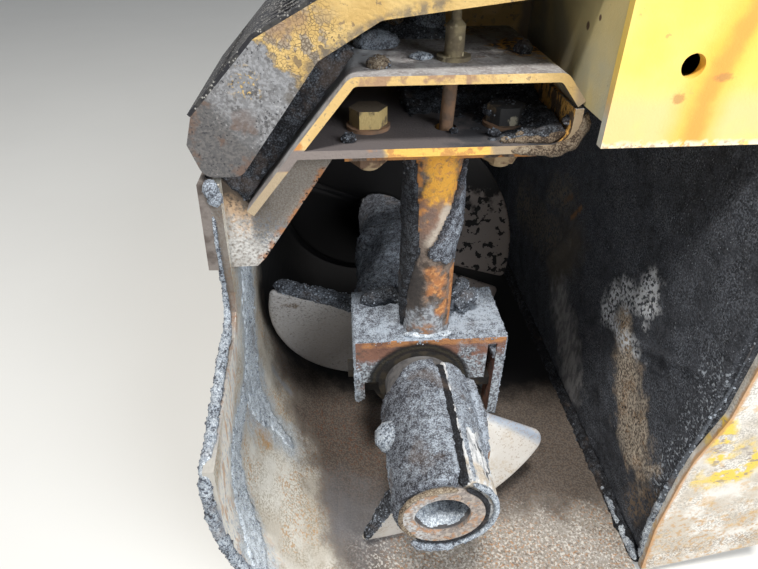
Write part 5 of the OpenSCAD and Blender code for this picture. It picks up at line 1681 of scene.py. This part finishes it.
def beam_finish(name="beam paint"):
    """The beam's plates: painted front edges, dust on top, dark insides and painted shade on the faces that look down.
    """
    f = Finish(name, (0.085, 0.07, 0.048), 0.8)
    f.layer((0.15, 0.125, 0.10), f.mottle(24, 0.45, 0.62))
    up = f.facing((0, 0, 1), 0.3, 0.8)
    leg = f.facing((-0.77, 0, 0.64), 0.90, 0.985)
    floor = f.both(up, f.band("z", 200, 300, 4))
    f.layer((0.115, 0.10, 0.10), floor, 0.9)
    f.layer((0.045, 0.045, 0.05), f.both(floor, f.mottle(30, 0.42, 0.58), f.band("x", 10, 140, 24, 14)), 0.85)
    top = f.both(up, f.band("z", 300, 360, 4))
    f.layer((0.24, 0.22, 0.215), f.either(top, leg), 0.92)
    f.layer((0.35, 0.335, 0.33), f.both(f.either(top, leg), f.mottle(60, 0.40, 0.60, (1, 1, 1.8), 6)))
    f.layer((0.50, 0.49, 0.49), f.scaled(f.both(top, f.mottle(330, 0.52, 0.62, detail=6)), 0.6))
    f.layer((0.58, 0.60, 0.63), f.scaled(f.both(f.either(top, leg), f.trail([(-58, 220, 339), (-72, 200, 334), (-112, 184, 285)], 22, 0.9, 0.5, 30)), 0.85))
    f.layer((0.42, 0.41, 0.40), f.scaled(f.both(top, f.mottle(150, 0.58, 0.68, (1, 0.25, 1))), 0.7))
    f.layer((0.15, 0.10, 0.075), f.scaled(f.both(top, f.mottle(60, 0.56, 0.66), f.band("y", 180, 400, 10)), 0.7))
    f.layer((0.07, 0.07, 0.075), f.both(leg, f.trail([(-100, 185, 296), (-150, 190, 236)], 3.5, 0.5, 1.2, 60)))
    f.layer((0.58, 0.50, 0.26), f.both(f.spot((104, 185, 334), (9, 22, 14), 0.4, 0.7, 60), f.mottle(60, 0.35, 0.5)))
    front = f.facing((0, -1, 0), 0.6, 0.9)
    f.layer((0.66, 0.45, 0.18), front, 0.6)
    f.layer((0.76, 0.54, 0.24), f.both(front, f.mottle(45, 0.5, 0.65)))
    f.layer((0.30, 0.22, 0.14), f.scaled(f.both(front, f.mottle(180, 0.57, 0.62, detail=6), f.mottle(24, 0.42, 0.56)), 0.7))
    f.layer((0.36, 0.22, 0.14), f.scaled(f.both(front, f.spot((-15, 148, 337), (46, 20, 9), 0.3, 0.9, 90), f.mottle(60, 0.44, 0.54)), 0.9))
    f.layer((0.42, 0.33, 0.22), f.both(front, f.line((-124, 148, 270), (-0.64, 0, -0.77), 0, 90, 8, 8)), 0.9)
    f.layer((0.60, 0.27, 0.08), f.both(front, f.spot((-118, 148, 279), (13, 20, 13), 0.4, 0.8, 120)), 0.9)
    low = f.both(front, f.band("z", 265, 283, 1))
    f.layer((0.24, 0.205, 0.19), f.both(low, f.band("x", -140, -42, 3, 5)), 0.9)
    f.layer((0.86, 0.52, 0.12), f.both(low, f.band("x", -40, 48, 3, 5)))
    f.layer((0.52, 0.24, 0.08), f.scaled(f.both(low, f.band("x", -52, 60, 3, 5), f.mottle(100, 0.52, 0.6)), 0.8))
    f.layer((0.38, 0.29, 0.19), f.both(front, f.either(f.band("x", 106, 140, 4, 3), f.both(low, f.band("x", 48, 140, 3, 6)))), 0.95)
    rust = f.either(
        f.trail([(98, 230, 330), (114, 214, 306), (118, 196, 286)], 32, 0.4, 0.9, 50),
        f.spot((56, 300, 322), (20, 34, 15), 0.4, 0.8, 60),
        f.both(f.facing((-0.9, 0, 0.3), 0.5, 0.8), f.band("x", 100, 130, 4)),
    )
    f.layer((0.11, 0.07, 0.04), rust)
    f.layer((0.74, 0.40, 0.10), f.both(rust, f.mottle(170, 0.46, 0.54, (1, 1, 0.5), 6)))
    # painted shade: the faces that look down are darkened
    under = f.facing((0, 0, -1), 0.5, 0.9)
    f.layer((0.06, 0.055, 0.05), f.both(under, f.mottle(16, 0.3, 0.5)), 0.9)
    mask = gritted(f, 0.35)
    f.raise_by(f.scaled(f.both(rust, f.mottle(160, 0.4, 0.6)), 1.2))
    return f.done()


def arm_finish():
    f = Finish("pitted guard arm", (0.10, 0.097, 0.098), 0.8)
    fine = f.mottle(420, 0.44, 0.60, detail=6)
    high = f.line((-165, 150, 300), (0.76, 0, 0.65), 14, 500, 16, 16)
    f.layer((0.155, 0.145, 0.14), f.scaled(fine, 0.8))
    f.layer((0.23, 0.232, 0.24), f.scaled(f.both(high, f.mottle(90, 0.30, 0.56, detail=6)), 0.85))
    f.layer((0.34, 0.345, 0.36), f.scaled(f.both(high, fine), 0.7))
    f.layer((0.15, 0.095, 0.07), f.scaled(f.both(f.mottle(46, 0.50, 0.60, detail=6), f.line((-160, 150, 300), (0.7, 0, 0.6), -100, 14, 18, 14)), 0.8))
    f.layer((0.035, 0.035, 0.04), f.scaled(f.both(f.mottle(380, 0.59, 0.63, detail=6), f.mottle(36, 0.40, 0.56)), 0.85))
    f.layer((0.55, 0.55, 0.55), f.scaled(f.both(f.mottle(420, 0.66, 0.69, detail=6), f.mottle(30, 0.46, 0.56)), 0.9))
    paint = f.either(
        f.line((-117, 150, 350), (0.76, 0, 0.65), 0, 600, 4, 22, 44),
        f.both(f.spot((-147, 150, 335), (8, 9, 8), 0.9, 1.0, 90), f.mottle(300, 0.55, 0.60, detail=6)),
    )
    paint = f.scaled(paint, 1.0)
    f.layer((0.56, 0.37, 0.13), paint, 0.6)
    f.layer((0.66, 0.46, 0.18), f.both(paint, f.mottle(26, 0.44, 0.62)))
    rim_zone = f.line((-117, 150, 350), (0.76, 0, 0.65), -20, 46, 16, 14)
    crack = f.both(paint, f.crackle(330, 0.06, 1.0, 60), rim_zone)
    f.layer((0.30, 0.26, 0.22), f.scaled(f.both(paint, rim_zone, f.mottle(120, 0.50, 0.57, detail=6)), 0.85))
    f.layer((0.16, 0.12, 0.08), f.scaled(crack, 0.8), 0.8)
    f.layer((0.34, 0.22, 0.13), f.scaled(f.both(paint, f.trail([(-118, 150, 372), (-104, 150, 378)], 7, 0.8, 1.0, 90)), 0.8))
    f.layer((0.24, 0.17, 0.10), f.scaled(f.both(paint, f.mottle(150, 0.64, 0.68, detail=6)), 0.8))
    lower = f.trail([(-113, 150, 324), (-91, 150, 350), (-58, 150, 371), (0, 150, 388)], 4.5, 0.8, 0.8, 90)
    f.layer((0.13, 0.115, 0.10), f.scaled(f.both(lower, f.mottle(160, 0.34, 0.54, detail=6)), 0.75))
    gritted(f, 0.5, 300, 60)
    f.raise_by(f.scaled(paint, 0.8))
    f.raise_by(f.scaled(crack, -0.8))
    return f.done()


def post_finish():
    f = Finish("rusty post", (0.15, 0.115, 0.095), 0.85)
    fine = f.mottle(520, 0.42, 0.58, detail=6)
    f.layer((0.25, 0.20, 0.165), f.scaled(fine, 0.6))
    f.layer((0.06, 0.045, 0.036), f.scaled(f.mottle(70, 0.48, 0.58, detail=6), 0.85))
    # painted shade: the left side of the post is darker between z 90 and 160
    f.layer((0.035, 0.032, 0.032), f.scaled(f.both(f.band("x", -30, -3, 4, 16, 50), f.band("z", 90, 160, 14, 20)), 0.85))
    rust = f.both(
        f.band("z", 74, 152, 8, 26, 34),
        f.either(f.both(f.band("x", 4, 25, 5, 14, 50), f.mottle(44, 0.40, 0.50, detail=6)), f.band("x", 27.5, 34, 1.5, 3, 90)),
    )
    f.layer((0.50, 0.20, 0.07), f.scaled(rust, 0.9))
    f.layer((0.66, 0.33, 0.13), f.scaled(f.both(rust, f.mottle(260, 0.50, 0.62, detail=6)), 0.9))
    high = f.band("z", 196, 300, 8, 16, 40)
    f.layer((0.62, 0.27, 0.08), f.scaled(f.both(high, f.mottle(80, 0.40, 0.54, detail=6)), 0.85))
    yellow = f.both(f.band("z", 214, 300, 6, 26, 40), f.band("x", -2, 24, 4, 9, 60), f.mottle(60, 0.36, 0.46, detail=6))
    f.layer((0.84, 0.42, 0.055), f.scaled(yellow, 0.95), 0.6)
    f.layer((0.46, 0.21, 0.10), f.scaled(f.both(yellow, f.mottle(300, 0.56, 0.62, detail=6)), 0.6))
    f.layer((0.20, 0.13, 0.105), f.scaled(f.both(f.band("z", 168, 226, 6, 22, 50), f.mottle(50, 0.42, 0.52, detail=6)), 0.85))
    # painted highlight: a pale diagonal streak on the round post
    f.layer((0.56, 0.49, 0.41), f.scaled(f.trail([(18, 171, 212), (5, 170, 180)], 5, 0.8, 1.0, 90), 0.85))
    low = f.band("z", 50, 92, 8, 26, 44)
    f.layer((0.19, 0.20, 0.22), f.scaled(f.both(low, f.mottle(46, 0.38, 0.52, detail=6)), 0.9), 0.9)
    f.layer((0.44, 0.47, 0.51), f.scaled(f.both(low, f.mottle(46, 0.42, 0.52, detail=6), f.mottle(330, 0.42, 0.58, detail=6)), 0.9), 0.9)
    f.layer((0.36, 0.17, 0.07), f.scaled(f.both(f.band("z", 50, 78, 6, 14, 50), f.band("x", -8, 16, 8, 10, 50), f.mottle(120, 0.46, 0.54, detail=6)), 0.8))
    gritted(f, 0.7, 420, 70)
    return f.done()


def saddle_finish():
    f = Finish("rusty saddle", (0.19, 0.095, 0.068), 0.85)
    f.layer((0.26, 0.13, 0.09), f.mottle(40, 0.42, 0.62, detail=6))
    f.layer((0.10, 0.075, 0.065), f.scaled(f.mottle(80, 0.50, 0.62, detail=6), 0.85))
    f.layer((0.50, 0.23, 0.09), f.scaled(f.both(f.band("z", 53, 64, 1.5, 2, 90), f.mottle(60, 0.35, 0.5)), 0.8))
    front = f.facing((0, -1, 0), 0.6, 0.9)
    grey = f.either(
        f.both(f.band("z", -30, 34, 8, 14, 40), f.mottle(34, 0.38, 0.5)),
        f.band("z", -70, -8, 6, 12, 40),
        f.both(f.spot((62, 166, 26), (26, 20, 24), 0.6, 0.9, 50), f.mottle(60, 0.38, 0.5)),
    )
    grain = f.mottle(420, 0.42, 0.56, detail=6)
    f.layer((0.15, 0.16, 0.18), f.scaled(f.both(front, grey), 0.9), 0.95)
    f.layer((0.46, 0.51, 0.56), f.scaled(f.both(front, grey, grain), 0.95), 0.95)
    recess = f.spot((0, 166, 0), (57, 300, 57), 0.05, 0.06, 40)
    f.layer((0.010, 0.009, 0.009), f.scaled(f.both(front, recess), 0.97), 0.7)
    inner = f.both(f.spot((0, 166, 0), (52, 300, 52), 0.03, 0.05, 40), f.without(f.spot((0, 166, 0), (49, 300, 49), 0.03, 0.05, 40)))
    f.layer((0.045, 0.038, 0.024), f.scaled(f.both(front, inner), 0.8), 0.5)
    f.layer(BLACK, f.both(f.facing((0, 1, 0), 0.5, 0.9), f.mottle(20, 0.3, 0.5)))
    gritted(f, 0.8, 360, 60)
    f.raise_by(f.scaled(f.both(front, grey, grain), 1.0))
    return f.done()


def gusset_finish():
    f = Finish("dusty gusset", (0.20, 0.17, 0.14), 0.9)
    fine = f.mottle(700, 0.40, 0.60, detail=6)
    f.layer((0.27, 0.25, 0.23), f.scaled(fine, 0.8))
    f.layer((0.07, 0.05, 0.035), f.scaled(f.trail([(-176, 162, 244), (-158, 162, 236)], 15, 0.8, 0.9, 50), 0.85))
    f.layer((0.55, 0.38, 0.24), f.scaled(f.both(f.trail([(-172, 162, 226), (-168, 162, 206)], 10, 0.8, 1.1, 60), f.mottle(200, 0.36, 0.54, detail=6)), 0.9))
    worn = f.both(f.trail([(-178, 162, 196), (-160, 162, 178), (-132, 162, 172)], 20, 0.8, 0.8, 40), f.mottle(330, 0.30, 0.60, detail=6))
    f.layer((0.66, 0.65, 0.63), f.scaled(worn, 0.9))
    f.layer((0.20, 0.22, 0.25), f.scaled(f.both(f.trail([(-150, 162, 204), (-128, 162, 196)], 15, 0.9, 0.8, 40), f.mottle(420, 0.48, 0.6, detail=6)), 0.8))
    edge = f.trail([(-153, 162, 168), (-122, 162, 214), (-90, 162, 260)], 4.0, 0.6, 1.1, 70)
    f.layer((0.42, 0.18, 0.07), f.scaled(f.both(edge, f.mottle(120, 0.40, 0.54, detail=6)), 0.85))
    f.layer((0.02, 0.02, 0.022), f.both(edge, f.mottle(240, 0.54, 0.60, detail=6)))
    gritted(f, 0.7, 400, 60)
    return f.done()


def tube_finish():
    """The shaft's tube: dark where the crust leaves it bare, tan and rusty on its front ring."""
    f = Finish("crusted tube", (0.085, 0.082, 0.086), 0.8)
    f.layer((0.16, 0.155, 0.155), f.mottle(70, 0.42, 0.6, detail=6))
    ring = f.band("y", -20, 3.5, 1)
    f.layer((0.27, 0.235, 0.215), ring)
    f.layer((0.44, 0.38, 0.33), f.scaled(f.both(ring, f.mottle(230, 0.46, 0.56, detail=6)), 0.9))
    f.layer((0.52, 0.53, 0.54), f.scaled(f.both(ring, f.band("x", -60, -8, 10, 14), f.mottle(300, 0.42, 0.58, detail=6)), 0.9))
    f.layer((0.42, 0.22, 0.11), f.scaled(f.both(ring, f.mottle(80, 0.50, 0.58, detail=6), f.mottle(340, 0.38, 0.56, detail=6)), 0.85))
    f.layer((0.13, 0.10, 0.085), f.scaled(f.both(ring, f.mottle(380, 0.57, 0.64, detail=6)), 0.8))
    gritted(f, 0.5, 400, 70)
    return f.done()


def steel_finish(name, base, other, specks=None, scale=50.0, bump=0.5):
    """A rusty or caked small part: one colour clouded by another, with specks."""
    f = Finish(name, base, 0.85)
    f.layer(other, f.mottle(scale, 0.44, 0.6, detail=6))
    if specks is not None:
        f.layer(specks, f.speckle(scale * 5, 0.2, 0.5, 30))
    gritted(f, bump, 300, 60)
    return f.done()


def bolt_finish():
    f = Finish("hanger bolts", (0.17, 0.125, 0.08), 0.75)
    f.layer((0.27, 0.20, 0.115), f.mottle(90, 0.4, 0.6, detail=6))
    left = f.band("x", -90, -10, 2)
    f.layer((0.40, 0.29, 0.13), f.both(left, f.facing((0, -1, 0), 0.2, 0.7), f.mottle(90, 0.40, 0.54, detail=6)))
    # painted highlight: the facet of the left bolt's head that looks front and right is bright gold
    f.layer((0.66, 0.50, 0.22), f.both(left, f.facing((0.5, -0.87, 0), 0.6, 0.9), f.mottle(90, 0.32, 0.48, detail=6)))
    f.layer((0.20, 0.16, 0.12), f.both(left, f.facing((0, 0, 1), 0.6, 0.9)))
    right = f.band("x", 10, 120, 2)
    f.layer((0.05, 0.05, 0.052), f.both(right, f.mottle(50, 0.28, 0.4)), 0.9)
    f.layer((0.50, 0.46, 0.36), f.both(right, f.spot((72, 186, 288), (4, 8, 3.5), 0.3, 0.9, 200)))
    f.layer((0.40, 0.30, 0.18), f.band("z", 200, 266, 2))
    f.layer(BROWN, f.both(f.band("z", 200, 266, 2), f.mottle(60, 0.45, 0.6)))
    gritted(f, 0.5, 300, 60)
    return f.done()


class AUGER_OT_plates(bpy.types.Operator):
    """Gives each plate and small part its paint, rust and dust"""

    bl_idname = "auger.plates"
    bl_label = "Plates"

    def execute(self, context):
        table = [
            (trough_finish(), "trough_plate"),
            (rear_wall_finish(), "rear_wall"),
            (rear_end_finish(), "rear_end_plate"),
            (end_plate_finish(), "frame_end_plate"),
            (side_wall_finish(), "frame_side_wall"),
            (beam_finish(), "beam_top_plate beam_bottom_plate beam_back_plate"),
            (arm_finish(), "guard_arm"),
            (post_finish(), "hanger_post post_flange"),
            (saddle_finish(), "hanger_saddle"),
            (gusset_finish(), "gusset_front gusset_rear"),
            (bolt_finish(), "hanger_bolts"),
            (weathered_yellow(), "frame_outer_wall frame_top_plate frame_bottom_plate rear_ribs_inner"),
            (steel_finish("dusty lip", (0.20, 0.175, 0.16), (0.11, 0.09, 0.08)), "trough_lip"),
            (steel_finish("rusty pipe", (0.30, 0.18, 0.11), (0.17, 0.12, 0.09)), "grease_pipe hanger_washers"),
            (steel_finish("oily brass", (0.30, 0.25, 0.15), (0.16, 0.13, 0.085), (0.48, 0.42, 0.28)), "grease_nipple"),
            (steel_finish("dark steel", (0.020, 0.018, 0.017), (0.05, 0.04, 0.028)), "bush_upper bush_lower bearing_cap cap_bolts bearing_bolts"),
            (steel_finish("rusty bolt ends", (0.24, 0.14, 0.09), (0.12, 0.09, 0.075)), "segment_bolts"),
            # caked asphalt and painted shade: the bearing and the mounting flange deep in the tunnel are near black,
            # standing in for the tunnel's shadow
            (steel_finish("caked bearing and painted shade", (0.004, 0.004, 0.005), (0.010, 0.010, 0.011)), "flange_bearing mount_flange"),
            (steel_finish("clogged mesh", (0.020, 0.020, 0.024), (0.05, 0.048, 0.046), (0.34, 0.33, 0.31), 120.0), "guard_mesh"),
            (tube_finish(), "shaft_tube"),
            (steel_finish("cast steel", (0.50, 0.48, 0.45), (0.36, 0.32, 0.28)), "outer_segment inner_segments_lower inner_segments_upper"),
        ]
        dressed = set()
        for material, names in table:
            for name in names.split():
                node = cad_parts[name]
                node.data.materials.clear()
                node.data.materials.append(material)
                dressed.add(name)
        if dressed != set(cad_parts):
            raise RuntimeError("these nodes have no finish: " + ", ".join(set(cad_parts) - dressed))
        return {"FINISHED"}


# Stage


class AUGER_OT_stage(bpy.types.Operator):
    """Makes the floor, the lights, the world and the camera"""

    bl_idname = "auger.stage"
    bl_label = "Stage"

    def execute(self, context):
        sizes = context.scene.auger_stage
        low = cad_box[0][2]
        mesh = bpy.data.meshes.new("floor")
        far = 6.0
        mesh.from_pydata([(-far, -far, low), (far, -far, low), (far, far, low), (-far, far, low)], [], [(0, 1, 2, 3)])
        floor = bpy.data.objects.new("floor", mesh)
        context.scene.collection.objects.link(floor)
        material = bpy.data.materials.new("pale floor")
        material.use_nodes = True
        tree = material.node_tree
        shader = tree.nodes["Principled BSDF"]
        spots = noise_value(tree, tree.nodes.new("ShaderNodeTexCoord").outputs["Object"], 3.0)
        mix = tree.nodes.new("ShaderNodeMix")
        mix.data_type = "RGBA"
        feed(tree, mix.inputs["Factor"], spots)
        feed(tree, mix.inputs[6], (0.78, 0.78, 0.76))
        feed(tree, mix.inputs[7], (0.82, 0.82, 0.80))
        feed(tree, shader.inputs["Base Color"], mix.outputs[2])
        shader.inputs["Roughness"].default_value = 0.9
        mesh.materials.append(material)

        world = bpy.data.worlds.new("studio")
        context.scene.world = world
        world.use_nodes = True
        tree = world.node_tree
        background = tree.nodes["Background"]
        rays = tree.nodes.new("ShaderNodeLightPath").outputs
        seen = maths(
            tree,
            "MAXIMUM",
            maths(tree, "MAXIMUM", rays["Is Camera Ray"], rays["Is Glossy Ray"]),
            rays["Is Transmission Ray"],
        )
        strength = maths(tree, "MULTIPLY_ADD", seen, 1.0 - sizes.ambient, sizes.ambient)
        feed(tree, background.inputs["Color"], (0.93, 0.96, 1.0))
        feed(tree, background.inputs["Strength"], strength)

        def lamp(name, place_at, aim, size, power, color):
            data = bpy.data.lights.new(name, "AREA")
            data.shape = "DISK"
            data.size = size
            data.energy = power
            data.color = color
            thing = bpy.data.objects.new(name, data)
            context.scene.collection.objects.link(thing)
            thing.location = place_at
            direction = np.array(aim) - np.array(place_at)
            thing.rotation_euler = Vector(direction).to_track_quat("-Z", "Y").to_euler()

        lamp("key", (-0.30, -1.90, 2.9), (0.0, -0.80, 0.0), 0.5, sizes.key, (1.0, 0.97, 0.92))
        lamp("front", (1.25, -2.5, 1.3), (-0.1, -0.8, 0.0), 1.4, sizes.fill, (0.94, 0.97, 1.0))

        data = bpy.data.cameras.new("camera")
        data.sensor_fit = "HORIZONTAL"
        data.sensor_width = 36.0
        data.lens = 27.02
        data.clip_start = 0.01
        camera = bpy.data.objects.new("camera", data)
        context.scene.collection.objects.link(camera)
        camera.location = at(-76.5, -284.4, 459.4)
        camera.rotation_euler = Euler((math.radians(54.4), 0.0, math.radians(-4.0)))
        context.scene.camera = camera
        context.scene.view_settings.view_transform = "Standard"
        return {"FINISHED"}


class AugerStage(bpy.types.PropertyGroup):
    key: bpy.props.FloatProperty(name="Key lamp", description="Power of the key lamp", default=92.0, unit="POWER")
    fill: bpy.props.FloatProperty(name="Front lamp", description="Power of the soft front lamp", default=42.0, unit="POWER")
    ambient: bpy.props.FloatProperty(
        name="Ambient", description="Strength of the world's light", default=0.22, min=0.0, max=1.0
    )


class AUGER_PT_panel(bpy.types.Panel):
    """Lists the steps that dress the part"""

    bl_idname = "AUGER_PT_panel"
    bl_label = "Auger end"
    bl_space_type = "VIEW_3D"
    bl_region_type = "UI"
    bl_category = "Auger End"

    def draw(self, context):
        for step in STEPS:
            self.layout.operator(step.bl_idname)


STEPS = [
    AUGER_OT_plates,
    AUGER_OT_flights,
    AUGER_OT_shaft_crust,
    AUGER_OT_saddle_crust,
    AUGER_OT_trough_crust,
    AUGER_OT_beam_crust,
    AUGER_OT_wall_crust,
    AUGER_OT_crumbs,
    AUGER_OT_stage,
]
CLASSES = [AugerStage, AugerFlights, AugerCrumbs, *STEPS, AUGER_PT_panel]


def register():
    for item in CLASSES:
        bpy.utils.register_class(item)
    bpy.types.Scene.auger_stage = bpy.props.PointerProperty(type=AugerStage)
    bpy.types.Scene.auger_flights = bpy.props.PointerProperty(type=AugerFlights)
    bpy.types.Scene.auger_crumbs = bpy.props.PointerProperty(type=AugerCrumbs)


def unregister():
    del bpy.types.Scene.auger_stage
    del bpy.types.Scene.auger_flights
    del bpy.types.Scene.auger_crumbs
    for item in reversed(CLASSES):
        bpy.utils.unregister_class(item)


def main():
    register()
    for step in STEPS:
        group, name = step.bl_idname.split(".")
        getattr(getattr(bpy.ops, group), name)()


if __name__ == "__main__":
    main()
